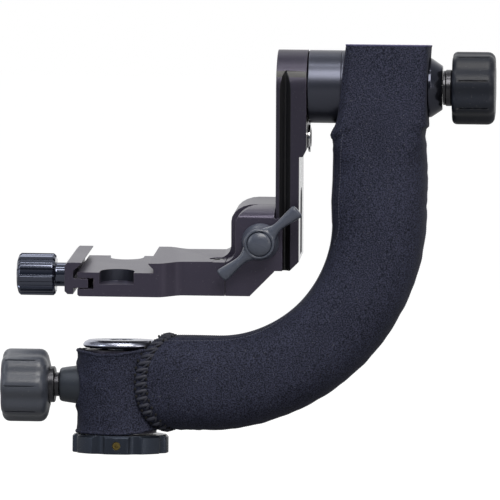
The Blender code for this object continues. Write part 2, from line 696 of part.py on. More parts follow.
def c_arm():
    """The L-shaped casting: pan housing, bend and the head that holds the tilt bearings."""
    arm = lofted("c_arm", arm_rings(0.0), "anodised")
    combine(arm, rod("housing", HOUSING_RADIUS, HOUSING_BOTTOM_Z, HOUSING_TOP_Z + OVERRUN, None, at()), "UNION")
    cut(
        arm,
        rod("cap_clearance", CAP_CLEARANCE_RADIUS, HOUSING_TOP_Z, HEAD_TOP_Z, None, at()),
        rod("flange_room", SHAFT_FLANGE_RADIUS + 2.0 * GAP, HOUSING_BOTTOM_Z - OVERRUN, FLANGE_ROOM_Z, None, at()),
        rod("lower_seat", BEARING_SEAT, HOUSING_BOTTOM_Z - OVERRUN, LOWER_BEARING_Z + RACE_WIDTH + GAP, None, at()),
        rod("upper_seat", BEARING_SEAT, UPPER_BEARING_Z - GAP, HOUSING_TOP_Z + OVERRUN, None, at()),
        rod("housing_bore", SEAT_SHOULDER_RADIUS, HOUSING_BOTTOM_Z, HOUSING_TOP_Z, None, at()),
        rod("shoe_hole", SHOE_RADIUS + GAP, -HOUSING_RADIUS - OVERRUN, 0.0, None, at(z=PAN_LOCK_Z, along="X"),
            steps=SMALL_STEPS),
    )
    tilt = at(z=TILT_AXIS_Z, along="X")
    spigot_end = HEAD_FACE_X + TILT_SPIGOT_LENGTH + GAP
    cut(
        arm,
        rod("spigot_seat", TILT_SPIGOT_RADIUS + GAP, ARM_INNER_X - OVERRUN, spigot_end, None, tilt),
        rod("right_seat", BEARING_SEAT, TILT_RIGHT_BEARING_X - GAP, ARM_OUTER_X + OVERRUN, None, tilt),
        rod("head_bore", SEAT_SHOULDER_RADIUS, ARM_INNER_X, ARM_OUTER_X, None, tilt),
    )


def arm_sleeve():
    """The neoprene cover: the arm grown by its wall, less the arm, with its openings."""
    skin = SLEEVE_WALL + GAP
    sleeve = lofted("arm_sleeve", arm_rings(skin), "neoprene")
    combine(
        sleeve,
        rod("sleeve_drum", HOUSING_RADIUS + skin, SLEEVE_HEM_BOTTOM_Z, SLEEVE_HEM_TOP_Z + OVERRUN, None, at()),
        "UNION",
    )
    cut(sleeve, rod("sleeve_cap_room", SLEEVE_CAP_RADIUS, SLEEVE_HEM_TOP_Z, HEAD_TOP_Z, None, at()))
    inside = lofted("sleeve_inside", arm_rings(GAP), None)
    combine(
        inside,
        rod("sleeve_drum_inside", HOUSING_RADIUS + GAP, SLEEVE_HEM_BOTTOM_Z - OVERRUN, HOUSING_TOP_Z + OVERRUN, None,
            at()),
        "UNION",
    )
    cut(inside, rod("inside_cap_room", CAP_CLEARANCE_RADIUS - GAP, HOUSING_TOP_Z + GAP, HEAD_TOP_Z, None, at()))
    cut(sleeve, inside)
    cut(
        sleeve,
        rod("sleeve_boss_hole", BOSS_ROOT_RADIUS + BOSS_SLEEVE_ROOM, -HOUSING_RADIUS - skin - OVERRUN,
            -ROOT_HALF_DEPTH, None, at(z=PAN_LOCK_Z, along="X")),
        rod("sleeve_bearing_hole", TILT_HOUSING_RADIUS + GAP, ARM_INNER_X - skin - OVERRUN,
            HEAD_FACE_X + HEAD_CORNER_DEPTH, None, at(z=TILT_AXIS_Z, along="X")),
        rod("sleeve_cone_hole", CONE_HUB_RADIUS + GAP, ARM_OUTER_X - HEAD_CORNER_DEPTH,
            ARM_OUTER_X + skin + OVERRUN, None, at(z=TILT_AXIS_Z, along="X")),
    )


def pan_circlip():
    """The open spring ring over the upper outer race."""
    outer, inner = RACE_OUTER_RADIUS, RACE_OUTER_RADIUS - CIRCLIP_RING
    start = CIRCLIP_OPENING / 2.0
    outline = arc((0.0, 0.0), outer, start, 2.0 * math.pi - start, CIRCLIP_STEPS)
    outline += arc((0.0, 0.0), inner, 2.0 * math.pi - start, start, CIRCLIP_STEPS)
    low = UPPER_BEARING_Z + RACE_WIDTH + GAP
    extruded("pan_circlip", outline, "Z", low, low + CIRCLIP_WIDTH, "dark_steel")


# The two lock knobs


def grip_radius(angle, turn):
    """Radius of the grip at an angle: broad round lobes with narrower flutes between them."""
    sink = abs(math.cos((angle - turn) * GRIP_FLUTES / 2.0)) ** GRIP_FLUTE_POWER
    return GRIP_CREST_RADIUS - (GRIP_CREST_RADIUS - GRIP_VALLEY_RADIUS) * sink


def lock_grip(name, neck_x, outward, centre_z, turn):
    """The fluted rubber grip, from its neck side to its rounded outer end."""
    stations = []
    for i in range(GRIP_CORNER_STEPS):
        swing = 90.0 * DEG * i / (GRIP_CORNER_STEPS - 1)
        stations.append((GRIP_NECK_CORNER * (1.0 - math.sin(swing)), GRIP_NECK_CORNER * (1.0 - math.cos(swing))))
    stations.reverse()
    for i in range(GRIP_CORNER_STEPS):
        swing = 90.0 * DEG * i / (GRIP_CORNER_STEPS - 1)
        stations.append((GRIP_LENGTH - GRIP_CORNER * (1.0 - math.sin(swing)), GRIP_CORNER * (1.0 - math.cos(swing))))
    rings = []
    for along, inset in stations:
        x = neck_x + outward * along
        rings.append([
            (
                x,
                -(grip_radius(a, turn) - inset) * math.cos(a),
                centre_z + (grip_radius(a, turn) - inset) * math.sin(a),
            )
            for a in (2.0 * math.pi * k / GRIP_STEPS for k in range(GRIP_STEPS))
        ])
    grip = lofted(name, rings, "rubber")
    place = at(z=centre_z, along="X")
    ends = sorted((neck_x - outward * OVERRUN, neck_x + outward * GRIP_SOCKET_DEPTH))
    cut(grip, rod(name + "_socket", LOCK_BORE, ends[0], ends[1], None, place, steps=SMALL_STEPS))
    return grip


def lock_collar(name, face_x, outward, neck_length, collar_length, centre_z):
    """The metal collar between a lock's boss and its grip."""
    profile = [
        (LOCK_BORE, 0.0), (COLLAR_NECK_RADIUS, 0.0), (COLLAR_NECK_RADIUS, neck_length),
        (COLLAR_RADIUS, neck_length), (COLLAR_RADIUS, neck_length + collar_length),
        (LOCK_BORE, neck_length + collar_length),
    ]
    turned(
        name, [(radius, face_x + outward * along) for radius, along in profile], "dark_steel",
        at(z=centre_z, along="X"), hollow=True,
    )
    return face_x + outward * (neck_length + collar_length + GAP)


def pan_lock():
    """Boss, brake shoe, screw, collar and grip on the left of the pan housing."""
    place = at(z=PAN_LOCK_Z, along="X")
    profile = [
        (LOCK_BORE, BOSS_TIP_X), (BOSS_TIP_RADIUS, BOSS_TIP_X), (BOSS_ROOT_RADIUS, -HOUSING_RADIUS - SLEEVE_WALL),
        (BOSS_ROOT_RADIUS, -ROOT_HALF_DEPTH), (LOCK_BORE, -ROOT_HALF_DEPTH),
    ]
    boss = turned("pan_lock_boss", profile, "anodised", place, hollow=True)
    cut(boss, rod("boss_saddle", HOUSING_RADIUS + GAP, HOUSING_BOTTOM_Z, HOUSING_TOP_Z, None, at()))
    shoe_tip = -SHAFT_SHOULDER_RADIUS - GAP
    shoe_end = shoe_tip - SHOE_LENGTH
    rod("pan_brake_shoe", SHOE_RADIUS, shoe_end, shoe_tip, "brass", place, steps=SMALL_STEPS)
    grip_x = lock_collar("pan_lock_collar", BOSS_TIP_X - GAP, -1.0, PAN_NECK_LENGTH, COLLAR_LENGTH, PAN_LOCK_Z)
    lock_grip("pan_lock_grip", grip_x, -1.0, PAN_LOCK_Z, PAN_GRIP_TURN)
    rod(
        "pan_lock_screw", LOCK_SCREW_RADIUS, grip_x - GRIP_SOCKET_DEPTH + GAP, shoe_end - GAP, "bright_steel", place,
        steps=SMALL_STEPS,
    )


def tilt_lock():
    """Cone flange, brake pad, screw, collar and grip on the right of the head."""
    place = at(z=TILT_AXIS_Z, along="X")
    hub_x = TILT_RIGHT_BEARING_X + RACE_WIDTH + GAP
    profile = [
        (CONE_CAVITY_RADIUS, hub_x), (CONE_HUB_RADIUS, hub_x), (CONE_HUB_RADIUS, CONE_X), (CONE_BASE_RADIUS, CONE_X),
        (CONE_BASE_RADIUS, CONE_X + CONE_RIM), (CONE_FACE_RADIUS, CONE_FACE_X), (LOCK_BORE, CONE_FACE_X),
        (LOCK_BORE, CONE_CAVITY_END_X), (CONE_CAVITY_RADIUS, CONE_CAVITY_END_X),
    ]
    turned("tilt_flange", profile, "polished_black", place, hollow=True)
    pad_x = TILT_SHAFT_END_X + GAP
    rod("tilt_brake_pad", BRAKE_PAD_RADIUS, pad_x, pad_x + BRAKE_PAD_LENGTH, "brass", place, steps=SMALL_STEPS)
    grip_x = lock_collar(
        "tilt_lock_collar", CONE_FACE_X + GAP, 1.0, TILT_NECK_LENGTH, TILT_COLLAR_LENGTH, TILT_AXIS_Z
    )
    lock_grip("tilt_lock_grip", grip_x, 1.0, TILT_AXIS_Z, TILT_GRIP_TURN)
    rod(
        "tilt_lock_screw", LOCK_SCREW_RADIUS, pad_x + BRAKE_PAD_LENGTH + GAP, grip_x + GRIP_SOCKET_DEPTH - GAP,
        "bright_steel", place, steps=SMALL_STEPS,
    )


def tilt_bearing_housing():
    """The black drum between the arm's head and the swing arm."""
    flange_room = TILT_FLANGE_RADIUS + GAP
    flange_end = TILT_LEFT_BEARING_X - GAP
    seat_end = TILT_LEFT_BEARING_X + RACE_WIDTH + GAP
    shoulder_x = HEAD_FACE_X - GAP
    end = HEAD_FACE_X + TILT_SPIGOT_LENGTH
    profile = [
        (flange_room, TILT_HOUSING_X), (TILT_HOUSING_RADIUS, TILT_HOUSING_X), (TILT_HOUSING_RADIUS, shoulder_x),
        (TILT_SPIGOT_RADIUS, shoulder_x), (TILT_SPIGOT_RADIUS, end), (SEAT_SHOULDER_RADIUS, end),
        (SEAT_SHOULDER_RADIUS, seat_end), (BEARING_SEAT, seat_end), (BEARING_SEAT, flange_end),
        (flange_room, flange_end),
    ]
    turned("tilt_bearing_housing", profile, "polished_black", at(z=TILT_AXIS_Z, along="X"), hollow=True)


# The swing arm, in its own frame


def swing_frame():
    """The empty on the tilt axis that leans everything below it."""
    frame = bpy.data.objects.new("swing_frame", None)
    bpy.context.scene.collection.objects.link(frame)
    frame.matrix_local = Matrix.Translation(Vector((0.0, 0.0, TILT_AXIS_Z))) @ Matrix.Rotation(REST_LEAN, 4, "X")
    return frame


def tilt_shaft(frame):
    """The flanged shaft that the swing arm hangs on, and the nut on its end."""
    start = PAD_RIGHT_X + GAP
    low, high = TILT_LEFT_BEARING_X + RACE_WIDTH + GAP, TILT_RIGHT_BEARING_X - GAP
    profile = [
        (0.0, start), (TILT_FLANGE_RADIUS, start), (TILT_FLANGE_RADIUS, start + TILT_FLANGE_THICKNESS),
        (SHAFT_RADIUS, start + TILT_FLANGE_THICKNESS), (SHAFT_RADIUS, low), (SHAFT_SHOULDER_RADIUS, low),
        (SHAFT_SHOULDER_RADIUS, high), (SHAFT_RADIUS, high), (SHAFT_RADIUS, TILT_SHAFT_END_X),
        (0.0, TILT_SHAFT_END_X),
    ]
    shaft = turned("tilt_shaft", profile, "bright_steel", ALONG["X"], frame)
    for spot in arm_screw_spots():
        place = at(0.0, spot[0], spot[1], along="X")
        hole = rod(
            "shaft_screw_hole", ARM_SCREW_RADIUS + GAP, start - OVERRUN, start + TILT_FLANGE_THICKNESS + OVERRUN,
            None, place, frame, steps=SMALL_STEPS,
        )
        cut(shaft, hole)
    nut_x = TILT_RIGHT_BEARING_X + RACE_WIDTH + GAP
    ring("tilt_lock_nut", BEARING_BORE, TILT_NUT_RADIUS, nut_x, nut_x + TILT_NUT_LENGTH, "dark_steel", ALONG["X"],
         frame, steps=SMALL_STEPS)


def arm_screw_spots():
    """(y, z) of the screws through the pad into the shaft's flange."""
    return [
        (
            ARM_SCREW_CIRCLE * math.cos(90.0 * DEG + 2.0 * math.pi * k / ARM_SCREWS),
            ARM_SCREW_CIRCLE * math.sin(90.0 * DEG + 2.0 * math.pi * k / ARM_SCREWS),
        )
        for k in range(ARM_SCREWS)
    ]


def groove_cutters(frame):
    """Two dovetail grooves, one down each edge of the swing arm."""
    for side in (-1.0, 1.0):
        face = side * (SWING_HALF_DEPTH + OVERRUN)
        floor = side * (SWING_HALF_DEPTH - GROOVE_DEPTH)
        wide = GROOVE_HALF_WIDTH + OVERRUN
        outline = [
            (GROOVE_CENTRE_X - wide, face), (GROOVE_CENTRE_X + wide, face),
            (GROOVE_CENTRE_X + GROOVE_FLOOR_HALF, floor), (GROOVE_CENTRE_X - GROOVE_FLOOR_HALF, floor),
        ]
        yield extruded("groove", outline, "Z", SWING_BOTTOM - OVERRUN, SWING_HALF_DEPTH + OVERRUN, None, frame)


def swing_arm(frame):
    """The flat arm that hangs from the tilt shaft: thick pad above, thinner blade below."""
    side = [
        (SWING_X, SWING_BOTTOM), (LOWER_RIGHT_X - SWING_CHAMFER, SWING_BOTTOM),
        (LOWER_RIGHT_X, SWING_BOTTOM + SWING_CHAMFER), (LOWER_RIGHT_X, PAD_BOTTOM),
        (PAD_RIGHT_X - PAD_CHAMFER / 2.0, PAD_BOTTOM), (PAD_RIGHT_X, PAD_BOTTOM + PAD_CHAMFER),
        (PAD_RIGHT_X, SWING_HALF_DEPTH + OVERRUN), (SWING_X, SWING_HALF_DEPTH + OVERRUN),
    ]
    reach = SWING_HALF_DEPTH + OVERRUN
    arm = extruded("swing_arm", side, "Y", -reach, reach, "anodised", frame)
    face = arc((0.0, 0.0), SWING_HALF_DEPTH, 0.0, 180.0 * DEG, PAD_ARC_STEPS)
    face += [(-SWING_HALF_DEPTH, SWING_BOTTOM - OVERRUN), (SWING_HALF_DEPTH, SWING_BOTTOM - OVERRUN)]
    shape = extruded("arm_face", face, "X", SWING_X - OVERRUN, PAD_RIGHT_X + OVERRUN, None, frame)
    combine(arm, shape, "INTERSECT")
    cut(arm, *groove_cutters(frame))
    middle = POCKET_TOP - POCKET_HALF_WIDTH
    pocket = arc((0.0, middle), POCKET_HALF_WIDTH, 0.0, 180.0 * DEG, SMALL_STEPS)
    pocket += [(-POCKET_HALF_WIDTH, POCKET_BOTTOM), (POCKET_HALF_WIDTH, POCKET_BOTTOM)]
    cut(arm, extruded("pocket", pocket, "X", LOWER_RIGHT_X - POCKET_DEPTH, LOWER_RIGHT_X + OVERRUN, None, frame))
    head_depth = ARM_SCREW_HEAD_HEIGHT + BASE_EDGE
    for spot in arm_screw_spots():
        place = at(0.0, spot[0], spot[1], along="X")
        shank, head = ARM_SCREW_RADIUS + GAP, ARM_SCREW_HEAD_RADIUS + GAP
        cut(
            arm,
            rod("arm_screw_hole", shank, SWING_X - OVERRUN, PAD_RIGHT_X + OVERRUN, None, place, frame, SMALL_STEPS),
            rod("arm_head_hole", head, SWING_X - OVERRUN, SWING_X + head_depth, None, place, frame, SMALL_STEPS),
        )
    plug_place = at(0.0, 0.0, PLUG_CENTRE, along="X")
    pin_place = at(0.0, 0.0, STOP_PIN_HEIGHT, along="X")
    cut(
        arm,
        rod("plug_hole", PLUG_STEM_RADIUS + GAP, PAD_RIGHT_X - PLUG_STEM_LENGTH - GAP, PAD_RIGHT_X + OVERRUN, None,
            plug_place, frame, SMALL_STEPS),
        rod("pin_hole", STOP_PIN_RADIUS + GAP, SWING_X - OVERRUN, SWING_X + STOP_PIN_IN + GAP, None, pin_place,
            frame, SMALL_STEPS),
    )


def swing_fasteners(frame):
    """Screws of the pad, the round plug beside the drum and the pin that stops the platform."""
    for k, spot in enumerate(arm_screw_spots()):
        place = at(SWING_X + ARM_SCREW_HEAD_HEIGHT + BASE_EDGE - GAP, spot[0], spot[1]) @ Matrix.Rotation(
            -90.0 * DEG, 4, "Y"
        )
        socket_screw(
            f"swing_arm_screw_{k + 1}", ARM_SCREW_RADIUS, ARM_SCREW_HEAD_RADIUS, ARM_SCREW_HEAD_HEIGHT,
            ARM_SCREW_LENGTH, "dark_steel", place, frame,
        )
    face = PAD_RIGHT_X + GAP
    profile = [
        (0.0, face - PLUG_STEM_LENGTH), (PLUG_STEM_RADIUS, face - PLUG_STEM_LENGTH), (PLUG_STEM_RADIUS, face),
        (PLUG_RADIUS, face), (PLUG_RADIUS, face + PLUG_HEAD), (0.0, face + PLUG_HEAD),
    ]
    turned("swing_arm_plug", profile, "dark_steel", at(0.0, 0.0, PLUG_CENTRE, along="X"), frame)
    rod("platform_stop_pin", STOP_PIN_RADIUS, SWING_X - STOP_PIN_OUT, SWING_X + STOP_PIN_IN, "bright_steel",
        at(0.0, 0.0, STOP_PIN_HEIGHT, along="X"), frame, SMALL_STEPS)


# The lens platform, in the swing frame


def block_outline(left, top, corner, drop, foot_x, bottom_left):
    """Side view of the block that grips the swing arm, from its foot up and round."""
    foot_centre = (left - FOOT_FILLET, PLATFORM_TOP + FOOT_FILLET)
    outline = [(bottom_left, PLATFORM_BOTTOM), (DIAGONAL_FOOT_X, PLATFORM_BOTTOM)]
    outline += [(SWING_RIGHT_OF_BLOCK, DIAGONAL_TOP), (SWING_RIGHT_OF_BLOCK, top)]
    outline += [
        (left + corner + x, top - drop + z * drop / corner)
        for x, z in arc((0.0, 0.0), corner, 90.0 * DEG, 180.0 * DEG, FILLET_STEPS)
    ]
    outline += [
        point
        for point in arc(foot_centre, FOOT_FILLET, 0.0, -90.0 * DEG, FILLET_STEPS)
        if point[0] > foot_x
    ]
    return outline


def platform(frame):
    """The L-shaped platform: clamp bed, waist and the far half of the gripping block."""
    slot_top, slot_bottom = TONGUE_TOP + TONGUE_GAP, TONGUE_BOTTOM - TONGUE_GAP
    dovetail_x = FIXED_LIP_X + DOVETAIL_RUN
    edge = PLATFORM_EDGE
    foot_x = BLOCK_LEFT_X - FOOT_FILLET
    profile = block_outline(
        BLOCK_LEFT_X, BLOCK_TOP, BLOCK_CORNER, BLOCK_CORNER_DROP, foot_x, PLATFORM_LEFT_X + edge
    )
    profile += [
        (FIXED_LIP_X, PLATFORM_TOP), (FIXED_LIP_X, PLATFORM_TOP - LIP_LAND), (dovetail_x, CHANNEL_FLOOR + CHANNEL_LAND),
        (dovetail_x, CHANNEL_FLOOR), (PLATFORM_LEFT_X, CHANNEL_FLOOR), (PLATFORM_LEFT_X, slot_top),
        (TONGUE_SLOT_X, slot_top), (TONGUE_SLOT_X, slot_bottom), (PLATFORM_LEFT_X, slot_bottom),
        (PLATFORM_LEFT_X, PLATFORM_BOTTOM + edge),
    ]
    reach = CLAMP_HALF_WIDTH + OVERRUN
    body = extruded("platform", profile, "Y", -reach, reach, "anodised", frame)
    combine(body, platform_plan(frame), "INTERSECT")
    near = box(
        "near_half", (JAW_FOOT_X, -reach, PLATFORM_BOTTOM - OVERRUN),
        (SWING_X + OVERRUN, JAW_SPLIT_Y, BLOCK_TOP + OVERRUN), frame,
    )
    near_top = box(
        "near_foot", (foot_x - OVERRUN, -reach, PLATFORM_TOP), (JAW_FOOT_X + OVERRUN, JAW_SPLIT_Y, BLOCK_TOP), frame
    )
    cut(body, near, near_top)
    combine(body, hook("far_hook", 1.0, WAIST_HALF_WIDTH, BLOCK_TOP - OVERRUN, frame), "UNION")
    for side in (-1.0, 1.0):
        centre = side * (CLAMP_HALF_WIDTH - POCKET_ROUND_INSET)
        mouth = side * reach
        outline = arc(
            (POCKET_ROUND_X, centre), POCKET_ROUND_RADIUS, 0.0, -side * 180.0 * DEG, SMALL_STEPS
        ) + [(POCKET_ROUND_X - POCKET_ROUND_RADIUS, mouth), (POCKET_ROUND_X + POCKET_ROUND_RADIUS, mouth)]
        cut(body, extruded("side_pocket", outline, "Z", POCKET_LEDGE, PLATFORM_TOP, None, frame))
    stop_place = at(LENS_STOP_X, LENS_STOP_Y, PLATFORM_TOP)
    cut(
        body,
        rod("lens_stop_recess", LENS_STOP_RADIUS, -LENS_STOP_RECESS, OVERRUN, None, stop_place, frame, SMALL_STEPS),
        rod("lens_stop_hole", LENS_STOP_STEM + GAP, -LENS_STOP_LENGTH - LENS_STOP_RECESS, OVERRUN, None, stop_place,
            frame, SMALL_STEPS),
        rod("clamp_insert_hole", CLAMP_SCREW_RADIUS + INSERT_WALL + GAP, TONGUE_SLOT_X - OVERRUN,
            TONGUE_SLOT_X + INSERT_LENGTH + GAP, None, at(0.0, 0.0, CLAMP_SCREW_HEIGHT, along="X"), frame,
            SMALL_STEPS),
        rod("clamp_screw_room", CLAMP_SCREW_RADIUS + GAP, PLATFORM_LEFT_X, CLAMP_SCREW_END_X + CLAMP_OPENING + GAP,
            None, at(0.0, 0.0, CLAMP_SCREW_HEIGHT, along="X"), frame, SMALL_STEPS),
        rod("wing_insert_hole", WING_STUD_RADIUS + INSERT_WALL + GAP, JAW_SPLIT_Y - OVERRUN,
            JAW_SPLIT_Y + INSERT_LENGTH + GAP, None, at(WING_KNOB_X, 0.0, WING_KNOB_HEIGHT, along="Y"), frame,
            SMALL_STEPS),
        rod("wing_stud_room", WING_STUD_RADIUS + GAP, JAW_SPLIT_Y, WING_STUD_END_Y + GAP, None,
            at(WING_KNOB_X, 0.0, WING_KNOB_HEIGHT, along="Y"), frame, SMALL_STEPS),
    )
    slot_half = STOP_PIN_RADIUS + GAP
    stop_top = STOP_PIN_HEIGHT + slot_half
    cut(body, box(
        "stop_slot", (SWING_X - STOP_PIN_OUT - GAP, -slot_half, PLATFORM_BOTTOM - OVERRUN),
        (SWING_X + OVERRUN, slot_half, stop_top), frame,
    ))


def platform_plan(frame):
    """Top view of the platform: wide at the clamp, drawn in to its waist by a smooth S."""
    edge = []
    for i in range(WAIST_STEPS + 1):
        share = i / WAIST_STEPS
        x = CLAMP_WIDE_END_X + (WAIST_START_X - CLAMP_WIDE_END_X) * share
        edge.append((x, CLAMP_HALF_WIDTH + (WAIST_HALF_WIDTH - CLAMP_HALF_WIDTH) * ease(0.0, 1.0, share)))
    right = SWING_X + HOOK_REACH + OVERRUN
    left = PLATFORM_LEFT_X - OVERRUN
    outline = [(left, -CLAMP_HALF_WIDTH)]
    outline += [(x, -y) for x, y in edge] + [(right, -WAIST_HALF_WIDTH), (right, WAIST_HALF_WIDTH)]
    outline += list(reversed(edge)) + [(left, CLAMP_HALF_WIDTH)]
    return extruded("plan", outline, "Z", PLATFORM_BOTTOM - OVERRUN, BLOCK_TOP + OVERRUN, None, frame)


def hook(name, side, outside, top, frame):
    """The lip that wraps an edge of the swing arm, with its tip in the groove."""
    face = SWING_HALF_DEPTH + GAP
    tip_y = SWING_HALF_DEPTH - HOOK_TIP
    tip_x = SWING_X + HOOK_REACH
    slope = GROOVE_CENTRE_X - GROOVE_HALF_WIDTH + GAP / 2.0
    outline = [
        (SWING_X - OVERRUN, side * face), (slope, side * face),
        (slope + face - tip_y, side * tip_y), (tip_x, side * tip_y), (tip_x, side * outside),
        (SWING_X - OVERRUN, side * outside),
    ]
    return extruded(name, outline, "Z", DIAGONAL_TOP + HOOK_FOOT, top, None, frame)


def height_jaw(frame):
    """The near half of the block, which the winged knob pulls onto the swing arm."""
    split = JAW_SPLIT_Y - GAP
    outline = block_outline(
        JAW_LEFT_X, BLOCK_TOP, JAW_CORNER, JAW_CORNER_DROP, JAW_FOOT_X + GAP, JAW_FOOT_X + GAP
    )
    outline.append((JAW_FOOT_X + GAP, PLATFORM_TOP))
    jaw = extruded("height_jaw", outline, "Y", -WAIST_HALF_WIDTH, split, "anodised", frame)
    combine(jaw, hook("near_hook", -1.0, WAIST_HALF_WIDTH, JAW_FACE_TOP, frame), "UNION")
    over = [(-WAIST_HALF_WIDTH - OVERRUN, JAW_FACE_TOP)]
    depth = WAIST_HALF_WIDTH + split
    for i in range(JAW_TOP_STEPS + 1):
        turn = 90.0 * DEG * i / JAW_TOP_STEPS
        over.append((
            -WAIST_HALF_WIDTH + depth * (1.0 - math.cos(turn)),
            JAW_FACE_TOP + (BLOCK_TOP - JAW_FACE_TOP) * math.sin(turn),
        ))
    over += [(split, BLOCK_TOP + OVERRUN), (-WAIST_HALF_WIDTH - OVERRUN, BLOCK_TOP + OVERRUN)]
    cut(jaw, extruded("jaw_crown", over, "X", JAW_FOOT_X, SWING_X + HOOK_REACH + OVERRUN, None, frame))
    place = at(WING_KNOB_X, 0.0, WING_KNOB_HEIGHT, along="Y")
    cut(jaw, rod("jaw_stud_hole", WING_STUD_RADIUS + GAP, -WAIST_HALF_WIDTH - OVERRUN, 0.0, None, place, frame,
                 SMALL_STEPS))


def platform_fittings(frame):
    """The recessed screw by the block's foot and the two threaded bushes."""
    place = at(LENS_STOP_X, LENS_STOP_Y, PLATFORM_TOP - LENS_STOP_RECESS + GAP)
    socket_screw("platform_screw", LENS_STOP_STEM, LENS_STOP_RADIUS - 2.0 * GAP, LENS_STOP_HEAD, LENS_STOP_LENGTH,
                 "dark_steel", place, frame)
    start = TONGUE_SLOT_X + GAP
    ring("clamp_thread_bush", CLAMP_SCREW_RADIUS + GAP, CLAMP_SCREW_RADIUS + INSERT_WALL, start,
         start + INSERT_LENGTH - GAP, "brass", at(0.0, 0.0, CLAMP_SCREW_HEIGHT, along="X"), frame, SMALL_STEPS)
    start = JAW_SPLIT_Y + GAP
    ring("wing_thread_bush", WING_STUD_RADIUS + GAP, WING_STUD_RADIUS + INSERT_WALL, start,
         start + INSERT_LENGTH - GAP, "brass", at(WING_KNOB_X, 0.0, WING_KNOB_HEIGHT, along="Y"), frame, SMALL_STEPS)


def wing_outline():
    """Half-width against reach of the two wings, as one outline."""
    half = [
        (WING_NECK_REACH, WING_NECK_HALF),
        ((WING_NECK_REACH + WING_SPAN) / 2.0, (WING_NECK_HALF + WING_END_HALF) / 2.0),
        (WING_SPAN - WING_END_HALF, WING_END_HALF),
    ]
    tip = arc((WING_SPAN - WING_END_HALF, 0.0), WING_END_HALF, 90.0 * DEG, -90.0 * DEG, FILLET_STEPS)
    right = half[:-1] + tip + [(x, -y) for x, y in reversed(half[:-1])]
    left = [(-x, -y) for x, y in right]
    turned_points = []
    for x, y in right + left:
        c, s = math.cos(WING_TURN), math.sin(WING_TURN)
        turned_points.append((WING_KNOB_X + x * c - y * s, WING_KNOB_HEIGHT + x * s + y * c))
    return turned_points


def wing_knob(frame):
    """The winged height knob, its stud and the domed cap in its middle."""
    place = at(WING_KNOB_X, 0.0, WING_KNOB_HEIGHT, along="Y")
    back = -WAIST_HALF_WIDTH - GAP
    front = back - WING_HUB_LENGTH
    recess = front + WING_CAP_RECESS
    profile = [
        (0.0, back), (WING_HUB_RADIUS, back), (WING_RING_RADIUS, front), (0.0, front),
    ]
    knob = turned("height_knob", profile, "plastic", place, frame)
    wing_front = front + WING_SET_BACK
    wings = extruded("wings", wing_outline(), "Y", wing_front, wing_front + WING_THICKNESS, None, frame)
    combine(knob, wings, "UNION")
    cut(knob, rod("cap_seat", WING_CAP_RADIUS + GAP, front - OVERRUN, recess, None, place, frame))
    stud_head = back - WING_STUD_HEAD
    cut(knob, rod("knob_stud_hole", WING_STUD_RADIUS + GAP, stud_head - GAP, back + OVERRUN, None, place, frame,
                  SMALL_STEPS))
    rod("height_knob_stud", WING_STUD_RADIUS, stud_head, WING_STUD_END_Y, "bright_steel", place, frame, SMALL_STEPS)
    dome = [(0.0, recess - GAP), (WING_CAP_RADIUS, recess - GAP), (WING_CAP_RADIUS, front)]
    for i in range(1, FILLET_STEPS):
        turn = 90.0 * DEG * i / FILLET_STEPS
        dome.append((WING_CAP_RADIUS * math.cos(turn), front - WING_CAP_DOME * math.sin(turn)))
    dome.append((0.0, front - WING_CAP_DOME))
    turned("height_knob_cap", dome, "plastic", place, frame, steps=ROUND_STEPS)


# The lens clamp, in the swing frame


def clamp_jaw(frame):
    """The moving jaw, with the tongue that guides it under the bed."""
    left, right = CLAMP_JAW_LEFT_X, CLAMP_JAW_RIGHT_X
    chamfer = CLAMP_JAW_CHAMFER
    tongue_x = right + TONGUE_LENGTH
    outline = [
        (left + chamfer, CLAMP_JAW_BOTTOM), (right, CLAMP_JAW_BOTTOM), (right, TONGUE_BOTTOM),
        (tongue_x, TONGUE_BOTTOM), (tongue_x, TONGUE_TOP), (right, TONGUE_TOP), (right, PLATFORM_TOP - CLAMP_LIP_DROP),
        (CLAMP_LIP_X, PLATFORM_TOP - LIP_LAND), (CLAMP_LIP_X, PLATFORM_TOP), (left + chamfer, PLATFORM_TOP),
        (left, PLATFORM_TOP - chamfer), (left, CLAMP_JAW_BOTTOM + chamfer),
    ]
    jaw = extruded("clamp_jaw", outline, "Y", -CLAMP_HALF_WIDTH, CLAMP_HALF_WIDTH, "anodised", frame)
    place = at(0.0, 0.0, CLAMP_SCREW_HEIGHT, along="X")
    notch = box(
        "tongue_notch", (right, -CLAMP_NOTCH_HALF, TONGUE_BOTTOM - OVERRUN),
        (tongue_x + OVERRUN, CLAMP_NOTCH_HALF, TONGUE_TOP + OVERRUN), frame,
    )
    cut(jaw, notch, rod("jaw_screw_hole", CLAMP_SCREW_RADIUS + GAP, left - OVERRUN, right + OVERRUN, None, place,
                        frame, SMALL_STEPS))


